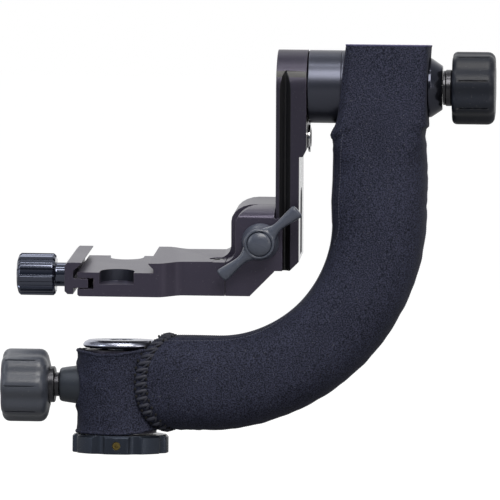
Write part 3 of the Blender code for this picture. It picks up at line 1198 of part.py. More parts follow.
def clamp_knob(frame):
    """The fluted aluminium knob and its screw."""
    neck_x = CLAMP_JAW_LEFT_X - GAP
    edge, dome = CLAMP_KNOB_EDGE, CLAMP_KNOB_DOME
    stations = [
        (CLAMP_KNOB_LEFT_X, CLAMP_KNOB_RADIUS - 3.0 * edge), (CLAMP_KNOB_LEFT_X + dome, CLAMP_KNOB_RADIUS - edge),
        (CLAMP_KNOB_LEFT_X + dome + edge, CLAMP_KNOB_RADIUS), (CLAMP_KNOB_RIGHT_X - edge, CLAMP_KNOB_RADIUS),
        (CLAMP_KNOB_RIGHT_X, CLAMP_KNOB_RADIUS - edge), (CLAMP_KNOB_RIGHT_X, CLAMP_KNOB_NECK), (neck_x, CLAMP_KNOB_NECK),
    ]
    rings = []
    for x, radius in stations:
        depth = CLAMP_FLUTE_DEPTH if radius > CLAMP_KNOB_NECK else 0.0
        section = []
        for k in range(GRIP_STEPS):
            a = 2.0 * math.pi * k / GRIP_STEPS
            r = radius - depth * abs(math.sin(a * CLAMP_KNOB_FLUTES / 2.0)) ** 4
            section.append((x, r * math.cos(a), CLAMP_SCREW_HEIGHT + r * math.sin(a)))
        rings.append(section)
    knob = lofted("clamp_knob", rings, "polished_black", frame)
    place = at(0.0, 0.0, CLAMP_SCREW_HEIGHT, along="X")
    hole_end = neck_x - CLAMP_KNOB_BORE
    cut(knob, rod("clamp_knob_hole", CLAMP_SCREW_RADIUS + GAP, hole_end - GAP, neck_x + OVERRUN, None, place, frame,
                  SMALL_STEPS))
    rod("clamp_screw", CLAMP_SCREW_RADIUS, hole_end, CLAMP_SCREW_END_X, "bright_steel", place, frame, SMALL_STEPS)


def main():
    clear_scene()
    tripod_base()
    base_fasteners()
    pan_shaft()
    pan_cap()
    c_arm()
    arm_sleeve()
    bearing("pan_lower", LOWER_BEARING_Z, "Z", 0.0)
    bearing("pan_upper", UPPER_BEARING_Z, "Z", 0.0)
    pan_circlip()
    pan_lock()
    tilt_lock()
    tilt_bearing_housing()
    bearing("tilt_left", TILT_LEFT_BEARING_X, "X", TILT_AXIS_Z)
    bearing("tilt_right", TILT_RIGHT_BEARING_X, "X", TILT_AXIS_Z)
    frame = swing_frame()
    tilt_shaft(frame)
    swing_arm(frame)
    swing_fasteners(frame)
    platform(frame)
    platform_fittings(frame)
    height_jaw(frame)
    wing_knob(frame)
    clamp_jaw(frame)
    clamp_knob(frame)


main()
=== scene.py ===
"""Looks of a gimbal tripod head with a padded arm, built round its fixed CAD frame.

Metres, +Z up. The origin is the centre of the base's underside, on the pan axis. +X runs
towards the tilt lock knob, and -Y towards the camera. Whatever hangs from the tilt axis is
worked out in a leaning frame of its own, whose origin is on that axis.
"""

import json
import math

import bmesh
import bpy
import numpy as np
from bpy.props import FloatProperty, FloatVectorProperty, PointerProperty
from mathutils import Matrix, Vector


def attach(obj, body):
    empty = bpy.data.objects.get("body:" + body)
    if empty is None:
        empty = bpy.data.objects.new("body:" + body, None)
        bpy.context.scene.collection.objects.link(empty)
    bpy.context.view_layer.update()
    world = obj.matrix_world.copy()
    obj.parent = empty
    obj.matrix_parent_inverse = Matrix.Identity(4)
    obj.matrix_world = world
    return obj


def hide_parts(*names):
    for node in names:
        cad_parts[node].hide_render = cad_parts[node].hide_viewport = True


bl_info = {
    "name": "Gimbal tripod head",
    "version": (1, 0, 0),
    "blender": (4, 5, 0),
    "location": "3D View > Sidebar > Gimbal head",
    "description": "Finished pieces, materials and stage of a gimbal tripod head",
    "category": "Object",
}

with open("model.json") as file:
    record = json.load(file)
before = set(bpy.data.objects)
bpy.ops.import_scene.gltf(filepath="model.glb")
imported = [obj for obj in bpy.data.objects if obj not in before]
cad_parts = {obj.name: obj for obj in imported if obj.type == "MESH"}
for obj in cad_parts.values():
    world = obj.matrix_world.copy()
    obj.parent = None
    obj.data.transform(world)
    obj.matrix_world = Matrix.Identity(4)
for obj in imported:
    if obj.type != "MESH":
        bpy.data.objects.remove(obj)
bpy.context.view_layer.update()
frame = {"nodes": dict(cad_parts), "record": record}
BODY_OF = {
    node: body
    for body, nodes in frame["record"]["behaviour"]["bodies"].items()
    for node in nodes
}

MM = 0.001
DEG = math.pi / 180.0
TURN = 2.0 * math.pi

# Mesh making
WELD = 0.002 * MM
ROUND_STEPS = 96
CORNER_STEPS = 5
SHARP_ANGLE = 32.0 * DEG
EDGE_ANGLE = 30.0 * DEG
FLAT_ANGLE = 0.4 * DEG

# Axes
TILT_AXIS_Z = 221.0 * MM
REST_LEAN = 6.0 * DEG
PAN_LOCK_Z = 40.2 * MM
CAMERA_TARGET = (0.0768, 0.0, 0.12245)

# The casting's bend, with its centres in X and Z
OUTER_BEND_RADIUS = 129.7 * MM
OUTER_BEND_CENTRE = (49.5 * MM, 147.3 * MM)
INNER_BEND_RADIUS = 71.3 * MM
INNER_BEND_CENTRE = (58.4 * MM, 138.4 * MM)

# Sleeve
SLEEVE_SKIN = 3.3 * MM
COLLAR_SLEEVE_RADIUS = 25.1 * MM
ROOT_SLEEVE_DEPTH = 23.2 * MM
ROOT_SLEEVE_X = 8.0 * MM
FULL_SLEEVE_X = 34.0 * MM
ROOT_POWER = 2.6
ARM_POWER = 2.75
HEAD_POWER = 8.0
SQUARING_LOW_Z = 172.0 * MM
SQUARING_TOP_Z = 204.0 * MM
SLEEVE_TOP_Z = 246.0 * MM
HEAD_MIDDLE_X = 158.0 * MM
HEAD_FOOT_Z = 190.0 * MM
SLEEVE_WALL = 2.0 * MM
SLEEVE_HALF_DEPTH = 27.4 * MM
SEAM_RADIUS = 25.4 * MM
PUFF_PITCH = 4.5 * MM
DRUM_OPENING = 22.3 * MM
CONE_OPENING = 18.3 * MM
BOSS_OPENING = 12.4 * MM
SECTION_STEPS = 184
LEG_STEPS = 30
BEND_STEPS = 96
HEAD_STEPS = 60

# Lock grips
GRIP_CREST = 21.9 * MM
GRIP_VALLEY = 20.3 * MM
GRIP_LOBES = 8
GRIP_FLUTE_POWER = 3.0
GRIP_LENGTH = 25.6 * MM
GRIP_SLIT = 0.95 * MM
PAN_GRIP_LENGTH = 24.8 * MM
PAN_GRIP_SKIRT = 3.4 * MM
PAN_GRIP_DROP = 0.7 * MM
PAN_GRIP_X = -46.5 * MM
TILT_GRIP_X = 197.3 * MM
PAN_GRIP_TURN = 23.1 * DEG
TILT_GRIP_TURN = -10.9 * DEG


# Working out shapes


def smooth_rise(low, high, value):
    """0 below low, 1 above high, and an even S between them."""
    share = np.clip((value - low) / (high - low), 0.0, 1.0)
    return share * share * (3.0 - 2.0 * share)


def metres(values):
    """Lengths given in mm, as the metres that everything else is in."""
    return np.asarray(values, float) * MM


def round_angles(count):
    """Even angles once round."""
    return np.linspace(0.0, TURN, count, endpoint=False)


def superellipse(angle, power):
    """A unit superellipse: r (cos t, sin t) with r = (|cos t| ** p + |sin t| ** p) ** (-1 / p)."""
    reach = (np.abs(np.cos(angle)) ** power + np.abs(np.sin(angle)) ** power) ** (-1.0 / power)
    return reach * np.cos(angle), reach * np.sin(angle)


def unit(vectors):
    """Each vector at length 1."""
    return vectors / np.linalg.norm(vectors, axis=-1, keepdims=True)


def run_along(points):
    """The way covered along a line at each of its points."""
    return np.concatenate([[0.0], np.cumsum(np.linalg.norm(np.diff(points, axis=0), axis=1))])


def bell(gap, height, width):
    """A soft ridge or dent at a gap from its middle, its height and width in mm."""
    return height * MM * np.exp(-((gap / (width * MM)) ** 2))


def grid_faces(rows, columns, wrap_rows=False):
    """Quads between neighbouring points of a grid whose columns, and perhaps rows, close on themselves."""
    i = np.arange(rows if wrap_rows else rows - 1)[:, None]
    j = np.arange(columns)[None, :]
    down, right = (i + 1) % rows, (j + 1) % columns
    corners = np.broadcast_arrays(
        i * columns + j, i * columns + right, down * columns + right, down * columns + j
    )
    return np.stack(corners, axis=-1).reshape(-1, 4)


def surface(points, wrap_rows=False):
    """Vertices and quads of a grid of points, shaped (rows, columns, 3), that closes across its columns."""
    rows, columns = points.shape[:2]
    return points.reshape(-1, 3), grid_faces(rows, columns, wrap_rows)


def closed_ends(points):
    """The grid with a pole at each end: its first and last rings are drawn in to their middles."""
    first, last = points[:1].mean(axis=1, keepdims=True), points[-1:].mean(axis=1, keepdims=True)
    shape = (1, points.shape[1], 3)
    return np.concatenate([np.broadcast_to(first, shape), points, np.broadcast_to(last, shape)])


def softened(profile, size, steps=CORNER_STEPS, closed=False):
    """The profile with its corners rounded.

    Each corner becomes a parabola that starts and ends size away from it along its two legs,
    or 45% of the leg where that is shorter.
    """
    points = np.asarray(profile, float)
    before, after = np.roll(points, 1, axis=0), np.roll(points, -1, axis=0)
    reach_back = np.linalg.norm(before - points, axis=1, keepdims=True)
    reach_on = np.linalg.norm(after - points, axis=1, keepdims=True)
    start = points + (before - points) / reach_back * np.minimum(size, 0.45 * reach_back)
    end = points + (after - points) / reach_on * np.minimum(size, 0.45 * reach_on)
    share = np.linspace(0.0, 1.0, steps + 1)[None, :, None]
    curve = (
        (1.0 - share) ** 2 * start[:, None]
        + 2.0 * share * (1.0 - share) * points[:, None]
        + share**2 * end[:, None]
    )
    if closed:
        return curve.reshape(-1, 2)
    return np.concatenate([points[:1], curve[1:-1].reshape(-1, 2), points[-1:]])


def lathe(profile, axis, centre=(0.0, 0.0, 0.0), steps=ROUND_STEPS):
    """A profile of (radius, along) carried once round an axis through centre.

    At turn t a profile point stands radius * (cos t, sin t) away from the axis.
    """
    profile = np.asarray(profile, float)
    turn = round_angles(steps)[None, :]
    first = profile[:, :1] * np.cos(turn)
    second = profile[:, :1] * np.sin(turn)
    along = np.broadcast_to(profile[:, 1:], first.shape)
    order = {"X": (along, first, second), "Y": (first, along, second), "Z": (first, second, along)}
    return np.stack(order[axis], axis=-1) + np.asarray(centre)


def leaned(points):
    """Points of the swinging frame, turned by the rest lean and lifted to the tilt axis."""
    x, y, z = points[..., 0], points[..., 1], points[..., 2]
    c, s = math.cos(REST_LEAN), math.sin(REST_LEAN)
    return np.stack([x, y * c - z * s, TILT_AXIS_Z + y * s + z * c], axis=-1)


# Meshes and objects


def new_object(name, data):
    made = bpy.data.objects.new(name, data)
    bpy.context.scene.collection.objects.link(made)
    return made


def tidy_mesh(mesh):
    """Merge points that meet, drop what has no area and turn every face outwards."""
    bm = bmesh.new()
    bm.from_mesh(mesh)
    bmesh.ops.remove_doubles(bm, verts=bm.verts, dist=WELD)
    bmesh.ops.dissolve_degenerate(bm, edges=bm.edges, dist=WELD)
    bmesh.ops.recalc_face_normals(bm, faces=bm.faces)
    bm.to_mesh(mesh)
    bm.free()


def shaped(name, surfaces, sharp=SHARP_ANGLE):
    """One object from one or more surfaces, merged, facing outwards and smooth up to sharp."""
    starts = np.cumsum([0] + [len(points) for points, _ in surfaces[:-1]])
    points = np.concatenate([points for points, _ in surfaces])
    faces = np.concatenate([quads + start for (_, quads), start in zip(surfaces, starts)])
    mesh = bpy.data.meshes.new(name)
    mesh.from_pydata(points.tolist(), [], faces.tolist())
    tidy_mesh(mesh)
    mesh.shade_smooth()
    mesh.set_sharp_from_angle(angle=sharp)
    return new_object(name, mesh)


def even_shading(piece):
    """Flat faces stay flat in shading next to small rounded corners."""
    weighted = piece.modifiers.new("even_shading", "WEIGHTED_NORMAL")
    weighted.keep_sharp = True


def dressed(piece, finish, slot, *nodes, body=None):
    """Give a piece its finish, let it ride with its body and let it stand for CAD nodes."""
    piece.data.materials.clear()
    piece.data.materials.append(finish_of(finish))
    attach(piece, body or BODY_OF[nodes[0]])
    if nodes:
        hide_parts(*nodes)
    return piece


def trim(name, surfaces, finish, sharp=SHARP_ANGLE):
    """A thread, a hem or the painted shade of needle holes on the cover."""
    return dressed(shaped(name, surfaces, sharp), finish, "neoprene", body="pan_arm")


def applied(piece):
    """Turn a piece's modifiers into its mesh."""
    graph = bpy.context.evaluated_depsgraph_get()
    graph.update()
    mesh = bpy.data.meshes.new_from_object(piece.evaluated_get(graph))
    piece.modifiers.clear()
    piece.data = mesh


def turned(name, profile, axis, centre=(0.0, 0.0, 0.0), hollow=True, lean=False):
    """A lathed shape: a profile of (radius, along) once round an axis.

    A hollow profile is closed in itself and leaves a bore. Any other ends in a pole each side.
    """
    points = lathe(profile, axis, centre)
    if not hollow:
        points = closed_ends(points)
    if lean:
        points = leaned(points)
    return shaped(name, [surface(points, wrap_rows=hollow)])


def turned_piece(name, looks, profile, corner, axis, centre=(0.0, 0.0, 0.0), steps=CORNER_STEPS, **form):
    """A lathed piece: a profile with its corners rounded, both in mm, with the finish and node in looks; the
    slot in looks is not used.
    """
    rounded = softened(metres(profile), corner * MM, steps, closed=form.get("hollow", True))
    piece = turned(name, rounded, axis, centre, **form)
    even_shading(piece)
    return dressed(piece, *looks)


def machined(name, node, finish, edge):
    """A milled part's own solid, with its triangles joined and its edges broken by edge."""
    mesh = frame["nodes"][node].data.copy()
    mesh.name = name
    bm = bmesh.new()
    bm.from_mesh(mesh)
    bmesh.ops.remove_doubles(bm, verts=bm.verts, dist=WELD)
    bmesh.ops.dissolve_limit(bm, angle_limit=FLAT_ANGLE, verts=bm.verts, edges=bm.edges)
    bm.to_mesh(mesh)
    bm.free()
    mesh.shade_smooth()
    mesh.set_sharp_from_angle(angle=EDGE_ANGLE)
    piece = new_object(name, mesh)
    broken = piece.modifiers.new("broken_edges", "BEVEL")
    broken.width = edge
    broken.segments = 2
    broken.limit_method = "ANGLE"
    broken.angle_limit = EDGE_ANGLE
    broken.harden_normals = True
    return dressed(piece, finish, "anodised", node)


# Node groups and finishes


def srgb(red, green, blue):
    """A colour picked on screen, 0 to 255, as the linear values that shaders take."""
    share = np.array([red, green, blue]) / 255.0
    linear = np.where(share <= 0.04045, share / 12.92, ((share + 0.055) / 1.055) ** 2.4)
    return tuple(linear.tolist())


def tinted(colour, factor, lift=0.0):
    """A lighter or darker colour of the same hue."""
    return tuple(min(1.0, factor * channel + lift) for channel in colour)


def add_node(tree, kind, values=None, **settings):
    """A node with its settings, and each input linked to a socket or set to a value."""
    made = tree.nodes.new(kind)
    for key, setting in settings.items():
        setattr(made, key, setting)
    for key, value in (values or {}).items():
        if isinstance(value, bpy.types.NodeSocket):
            tree.links.new(value, made.inputs[key])
        else:
            made.inputs[key].default_value = value
    return made


def math_of(tree, operation, first, second=0.0):
    """One arithmetic step between two numbers or sockets."""
    return add_node(tree, "ShaderNodeMath", {0: first, 1: second}, operation=operation).outputs[0]


def times(tree, first, second):
    return math_of(tree, "MULTIPLY", first, second)


def spread(tree, value, low, high, to_low=0.0, to_high=1.0):
    """A value carried from one range to another and kept inside it."""
    places = {"Value": value, "From Min": low, "From Max": high, "To Min": to_low, "To Max": to_high}
    return add_node(tree, "ShaderNodeMapRange", places, clamp=True).outputs[0]


def blended(tree, share, first, second):
    """A colour between two colours, each a socket or three channels."""
    first, second = (
        each if isinstance(each, bpy.types.NodeSocket) else (*each, 1.0) for each in (first, second)
    )
    return add_node(tree, "ShaderNodeMix", {0: share, 6: first, 7: second}, data_type="RGBA").outputs[2]


def group_of(name, inputs, outputs, build):
    """A shader node group with named sockets, built the first time that it is asked for."""
    tree = bpy.data.node_groups.get(name)
    if tree is None:
        tree = bpy.data.node_groups.new(name, "ShaderNodeTree")
        for label, value in inputs.items():
            socket = tree.interface.new_socket(label, in_out="INPUT", socket_type="NodeSocketFloat")
            socket.default_value = value
        for label in outputs:
            tree.interface.new_socket(label, in_out="OUTPUT", socket_type="NodeSocketFloat")
        given = tree.nodes.new("NodeGroupInput")
        result = tree.nodes.new("NodeGroupOutput")
        for label, socket in build(tree, given.outputs).items():
            tree.links.new(socket, result.inputs[label])
    return tree


def object_place(tree):
    return add_node(tree, "ShaderNodeTexCoord").outputs["Object"]


def noise(tree, scale, detail, distortion=0.0):
    """Noise in the object's own space."""
    inputs = {"Vector": object_place(tree), "Scale": scale, "Detail": detail, "Distortion": distortion}
    return add_node(tree, "ShaderNodeTexNoise", inputs).outputs[0]


def grain_nodes(tree, given):
    """Bead-blasted metal: noise of two sizes, the finer one a third as strong."""
    fine = noise(tree, times(tree, given["Scale"], 3.1), 1.0)
    return {"Height": math_of(tree, "ADD", noise(tree, given["Scale"], 2.0), times(tree, fine, 0.33))}


def knit_nodes(tree, given):
    """Fine jersey over foam: small cells for the stitches, with slow shade changes between them."""
    inputs = {"Vector": object_place(tree), "Scale": given["Scale"]}
    cells = add_node(tree, "ShaderNodeTexVoronoi", inputs)
    stitch = spread(tree, cells.outputs["Distance"], 0.0, 0.75, 1.0, 0.0)
    fuzz = noise(tree, times(tree, given["Scale"], 0.8), 1.0)
    soft = spread(tree, noise(tree, 34.0, 3.0), 0.3, 0.7)
    grain = spread(tree, fuzz, 0.34, 0.66)
    return {
        "Height": math_of(tree, "ADD", stitch, times(tree, fuzz, 1.2)),
        "Shade": math_of(tree, "ADD", times(tree, soft, 0.14), times(tree, grain, 0.86)),
    }


def wear_and_highlight_nodes(tree, given):
    """Where edges are lighter, partly rubbed wear and partly painted highlight: a small rounding would turn
    the normal there. Noise breaks it up.
    """
    rounded = add_node(tree, "ShaderNodeBevel", {"Radius": given["Width"]}, samples=4)
    true = add_node(tree, "ShaderNodeNewGeometry").outputs["Normal"]
    alike = add_node(tree, "ShaderNodeVectorMath", {0: rounded.outputs[0], 1: true}, operation="DOT_PRODUCT")
    edge = spread(tree, alike.outputs["Value"], 0.985, 0.82)
    broken = spread(tree, noise(tree, 320.0, 4.0), 0.4, 0.62)
    return {"Mask": times(tree, times(tree, edge, broken), given["Amount"])}


def smudge_nodes(tree, given):
    """Handling marks and a little dust: slow clouds, and specks where a fine noise peaks."""
    clouds = spread(tree, noise(tree, 24.0, 2.0, 0.3), 0.35, 0.7)
    specks = spread(tree, noise(tree, 900.0, 1.0), 0.70, 0.76)
    return {"Clouds": times(tree, clouds, given["Amount"]), "Specks": times(tree, specks, given["Amount"])}


EFFECTS = {
    "blasted_grain": ({"Scale": 2400.0}, ["Height"], grain_nodes),
    "knit_grain": ({"Scale": 1500.0}, ["Height", "Shade"], knit_nodes),
    "edge_wear_and_highlight": ({"Amount": 0.5, "Width": 0.5 * MM}, ["Mask"], wear_and_highlight_nodes),
    "smudges": ({"Amount": 0.5}, ["Clouds", "Specks"], smudge_nodes),
}


def effect(tree, name, values):
    """One of the shared effects, placed in a material with its own values."""
    made = tree.nodes.new("ShaderNodeGroup")
    made.node_tree = group_of(name, *EFFECTS[name])
    for label, value in values.items():
        made.inputs[label].default_value = value
    return made.outputs


def material_of(name, build):
    """A finish by name, built the first time that it is asked for."""
    name = "finish_" + name
    made = bpy.data.materials.get(name)
    if made is None:
        made = bpy.data.materials.new(name)
        made.use_nodes = True
        shader = made.node_tree.nodes["Principled BSDF"]
        build(made.node_tree, shader)
    return made


def bump(tree, shader, height, distance):
    relief = add_node(tree, "ShaderNodeBump", {"Height": height, "Distance": distance, "Strength": 1.0})
    tree.links.new(relief.outputs[0], shader.inputs["Normal"])


def set_shader(shader, **values):
    for key, value in values.items():
        shader.inputs[key.replace("_", " ").title().replace("Ior", "IOR")].default_value = value


def finish_settings():
    return bpy.context.scene.gimbal_finish


def coated(name, base, worn_and_highlit, roughness, metallic, grain, depth, wear_and_highlight, dust, scuff=0.0, **constants):
    """A hard coated surface: edges lighter from wear and painted highlight, uneven gloss and a fine grain.

    The shares of edge wear with painted highlight and of dust scale the settings for them, and depth is in
    mm. A scuffed surface also carries pale, dusty clouds, strongest where the gloss is dullest.
    """
    look = finish_settings()

    def build(tree, shader):
        set_shader(shader, metallic=metallic, **constants)
        # Edges lighter in the edge colour: partly rubbed wear, partly painted highlight.
        rubbed_and_highlit = effect(tree, "edge_wear_and_highlight", {"Amount": wear_and_highlight * look.wear_and_highlight})["Mask"]
        marks = effect(tree, "smudges", {"Amount": dust * look.dust})
        clean = blended(tree, rubbed_and_highlit, base, worn_and_highlit)
        dusty = blended(tree, times(tree, marks["Specks"], 0.35), clean, (0.35, 0.35, 0.36))
        if scuff:
            dusty = blended(tree, times(tree, marks["Clouds"], scuff), dusty, (0.21, 0.19, 0.17))
        tree.links.new(dusty, shader.inputs["Base Color"])
        gloss = spread(tree, marks["Clouds"], 0.0, 1.0, roughness, min(1.0, roughness + 0.1))
        tree.links.new(gloss, shader.inputs["Roughness"])
        bump(tree, shader, effect(tree, "blasted_grain", {"Scale": grain})["Height"], depth * MM)

    return material_of(name, build)


def coating_rows():
    """What coated takes for each finish.

    A row holds the material's name, colour, lighter edge colour of wear and painted highlight, roughness,
    metallic value, scale of the grain, its depth in mm, and its shares of the edge wear and highlight and of
    the dust that are set.
    """
    look = finish_settings()
    steel = srgb(165, 165, 168)
    # Near black: painted shade for the needle holes.
    puncture = (0.004, 0.004, 0.005)
    # The cord's lighter edge colour: partly rubbed wear, partly painted highlight.
    cord, rubbed_and_highlit_cord = tinted(look.neoprene, 0.8), tinted(look.neoprene, 1.7)
    yarn = tinted(look.neoprene, 1.9, 0.006)
    satin_and_pocket_shade = tinted(look.polished, 1.35)
    return {
        "anodised": (
            "anodised_black", look.anodised, (0.32, 0.31, 0.33), 0.34, 0.55, 2600.0, 0.02, 1.0, 1.0),
        "grey_anodised": (
            "anodised_blue_grey", look.boss, (0.3, 0.31, 0.34), 0.36, 0.5, 2600.0, 0.02, 1.0, 1.0),
        "platform_anodised": (
            "anodised_platform", look.platform, (0.36, 0.34, 0.35), 0.32, 0.55, 2600.0, 0.02, 1.0, 1.0),
        "base_anodised": ("anodised_base", look.base, (0.34, 0.36, 0.4), 0.26, 0.8, 2600.0, 0.01, 0.6, 1.0),
        # Near black: painted shade for the arm's groove and for the hole round the base's screw.
        "painted_recess_shade": (
            "painted_recess_shade", (0.006, 0.006, 0.008), (0.02, 0.02, 0.024), 0.3, 0.2, 2600.0, 0.01, 0.75, 0.5),
        "pan_rubber": (
            "grip_rubber_grey", look.pan_grip, (0.2, 0.21, 0.24), 0.34, 0.0, 1500.0, 0.04, 1.0, 1.0),
        "tilt_rubber": (
            "grip_rubber_dark", look.tilt_grip, (0.2, 0.19, 0.18), 0.38, 0.0, 1500.0, 0.04, 1.0, 1.0),
        "wing_plastic": ("wing_plastic", look.plastic, (0.2, 0.21, 0.24), 0.27, 0.0, 1900.0, 0.03, 0.4, 1.0),
        "polished": ("polished_black", look.polished, (0.4, 0.4, 0.43), 0.12, 0.9, 2600.0, 0.002, 0.5, 0.4),
        "mirror_grey": (
            "polished_grey", srgb(165, 168, 184), (0.6, 0.6, 0.62), 0.27, 1.0, 2600.0, 0.0005, 0.25, 0.25),
        # Satin black of the drum, also put on the platform's pocket as painted shade.
        "satin_black_and_pocket_shade": ("satin_black_and_pocket_shade", satin_and_pocket_shade, (0.3, 0.3, 0.33), 0.3, 0.85, 2600.0, 0.006, 0.2, 0.3),
        "gloss_black": (
            "gloss_black", look.clamp_gloss, (0.3, 0.3, 0.33), 0.07, 0.95, 2600.0, 0.0005, 0.1, 0.1),
        "pale_ring": (
            "pale_ring", srgb(236, 236, 238), (0.9, 0.9, 0.9), 0.1, 1.0, 2600.0, 0.001, 0.25, 0.25),
        "dark_steel": ("dark_steel", srgb(70, 70, 74), (0.4, 0.4, 0.4), 0.26, 0.9, 2400.0, 0.004, 1.25, 1.0),
        "bright_steel": ("bright_steel", steel, (0.7, 0.7, 0.7), 0.2, 1.0, 2400.0, 0.003, 1.0, 0.75),
        "brass": ("brass", srgb(140, 122, 70), (0.9, 0.75, 0.45), 0.24, 1.0, 2400.0, 0.004, 1.25, 1.0),
        "thread": ("sewing_thread", yarn, yarn, 0.55, 0.0, 5200.0, 0.05, 0.0, 1.0),
        "hem_tape": ("hem_tape", look.hem, look.hem, 0.6, 0.0, 3600.0, 0.08, 0.0, 1.0),
        "seam_cord": ("seam_cord", cord, rubbed_and_highlit_cord, 0.65, 0.0, 3000.0, 0.1, 2.25, 1.0),
        "puncture": ("needle_hole_painted_shade", puncture, puncture, 0.9, 0.0, 3600.0, 0.02, 0.0, 0.0),
    }


def neoprene():
    look = finish_settings()

    def build(tree, shader):
        set_shader(shader, metallic=0.0, sheen_weight=0.02, sheen_roughness=0.35, specular_ior_level=0.07)
        knit = effect(tree, "knit_grain", {"Scale": 1650.0})
        marks = effect(tree, "smudges", {"Amount": look.dust})
        shade = blended(tree, knit["Shade"], tinted(look.neoprene, 0.28), tinted(look.neoprene, 2.0))
        linted = blended(tree, times(tree, marks["Specks"], 0.4), shade, (0.3, 0.3, 0.32))
        tree.links.new(linted, shader.inputs["Base Color"])
        rough = spread(tree, knit["Shade"], 0.0, 1.0, 0.62, 0.78)
        tree.links.new(rough, shader.inputs["Roughness"])
        bump(tree, shader, knit["Height"], 0.16 * MM)

    return material_of("neoprene", build)


# What a few coated finishes have besides their row
COATING_EXTRAS = {"pan_rubber": {"scuff": 0.05}, "tilt_rubber": {"scuff": 0.04, "specular_ior_level": 0.24}}


def finish_of(name):
    """A finish by name."""
    if name == "neoprene":
        return neoprene()
    return coated(*coating_rows()[name], **COATING_EXTRAS.get(name, {}))


# The slots whose finish has another name
SLOT_FINISH = {"polished_black": "polished", "rubber": "tilt_rubber", "plastic": "wing_plastic"}


# Turned and milled pieces


def base_and_cap():
    """The lobed base, with painted shade in the hole round its brass screw, and the polished ring over the
    bearings.
    """
    base = machined("lobed_base", "tripod_base", "base_anodised", 0.7 * MM)
    # Painted shade: the faces of the hole round the set screw take the near-black finish.
    shade_faces(base, "painted_recess_shade", lambda x, y, z, nx, ny, nz: (
        (np.hypot(x, z - 5.1) < 2.9) & (y < -15.0) & (np.abs(ny) < 0.8)
    ), 0.0, 0.0)
    foot, recess, hole = 62.7, 64.7, 3.1
    ring = [
        (hole, foot), (21.6, foot), (23.1, foot + 1.5), (22.9, foot + 2.4), (22.0, foot + 3.7),
        (19.6, foot + 4.9), (8.1, foot + 4.9), (7.7, foot + 4.5), (7.7, recess), (hole, recess),
    ]
    turned_piece("bearing_cap", ("mirror_grey", "polished_black", "pan_cap"), ring, 0.35, "Z")


def collar(name, node, face_x, outward, neck, length, centre, neck_radius=7.2):
    """A lock's metal collar: a narrow neck, then a wider ring. Its sizes are in mm."""
    bore, radius, corner = 4.0, 10.9, 0.7
    end = neck + length
    profile = np.array([
        (bore, 0.0), (neck_radius, 0.0), (neck_radius, neck), (radius - corner, neck),
        (radius, neck + 0.6), (radius, end - 0.6), (radius - corner, end), (bore, end),
    ])
    profile = profile * (1.0, outward) + (0.0, face_x)
    turned_piece(name, ("dark_steel", "dark_steel", node), profile, 0.25, "X", centre)


def lock_grip(name, node, finish, neck_x, outward, centre_z, turn, skirt=0.0, length=GRIP_LENGTH):
    """A grip with broad round lobes, a fine slit along each crest and a socket for its screw.

    A skirt reaches over the collar as a quarter of an ellipse from the lobes to the collar's rim.

    At angle a the outline is crest - (crest - valley) * |cos(4 (a - turn))| ** 3. Along the grip
    it is drawn in by quarter circles at both ends, and at the crests a slit is taken out of it.
    """
    corner, neck_corner, bore, rim, socket = metres([4.6, 3.0, 4.0, 11.3, 14.0])
    slit_start, slit_end = metres([(3.6, 4.4), (21.4, 22.2)])
    slit_edges = [-1.15, -0.8, 0.8, 1.15]
    across = np.concatenate([np.linspace(-22.5, -1.6, 15), slit_edges, np.linspace(1.6, 22.5, 15)[:-1]])
    crests = turn / DEG + 22.5 + 45.0 * np.arange(GRIP_LOBES)
    angle = ((crests[:, None] + across).ravel() * DEG)[None, :]
    from_crest = np.tile(np.abs(across), GRIP_LOBES)[None, :]
    sink = np.abs(np.cos((angle - turn) * GRIP_LOBES / 2.0)) ** GRIP_FLUTE_POWER
    lobed = GRIP_CREST - (GRIP_CREST - GRIP_VALLEY) * sink

    along = np.linspace(0.0, 1.0, 7)[:, None] * 90.0 * DEG
    near = np.hstack([neck_corner * (1.0 - np.cos(along)), neck_corner * (1.0 - np.sin(along))])
    if skirt:
        drawn_in = 9.6 * MM * (1.0 - np.sin(along)) ** 1.3
        near = np.hstack([neck_corner - (neck_corner + skirt) * np.cos(along), drawn_in])
    far = np.hstack([length - corner * (1.0 - np.sin(along)), corner * (1.0 - np.cos(along))])
    middle = np.linspace(neck_corner, length - corner, 22)[1:-1, None]
    body = np.concatenate([near, np.hstack([middle, 0.0 * middle]), far])
    place, inset = body[:, :1], body[:, 1:]
    run = smooth_rise(*slit_start, place) * (1.0 - smooth_rise(*slit_end, place))
    slit = GRIP_SLIT * run * (1.0 - smooth_rise(slit_edges[2], slit_edges[3], from_crest))
    outline = lobed - inset - slit

    def disc(radius, at):
        return np.full((1, angle.size), radius), at

    rows = [disc(0.0, socket), disc(bore, socket), disc(bore, 0.0), disc(rim, 0.0)]
    if skirt:
        rows.append(disc(rim, -skirt))
    ends = [(0.94 * outline[-1:], length), disc(0.0, length)]
    radius = np.concatenate([r for r, _ in rows] + [outline] + [r for r, _ in ends])
    x = np.concatenate([[at for _, at in rows], place[:, 0], [at for _, at in ends]])
    x = np.broadcast_to(neck_x + outward * x[:, None], radius.shape)
    points = np.stack([x, -radius * np.cos(angle), centre_z + radius * np.sin(angle)], axis=-1)
    piece = shaped(name, [surface(points)], sharp=40.0 * DEG)
    even_shading(piece)
    dressed(piece, finish, "rubber", node)


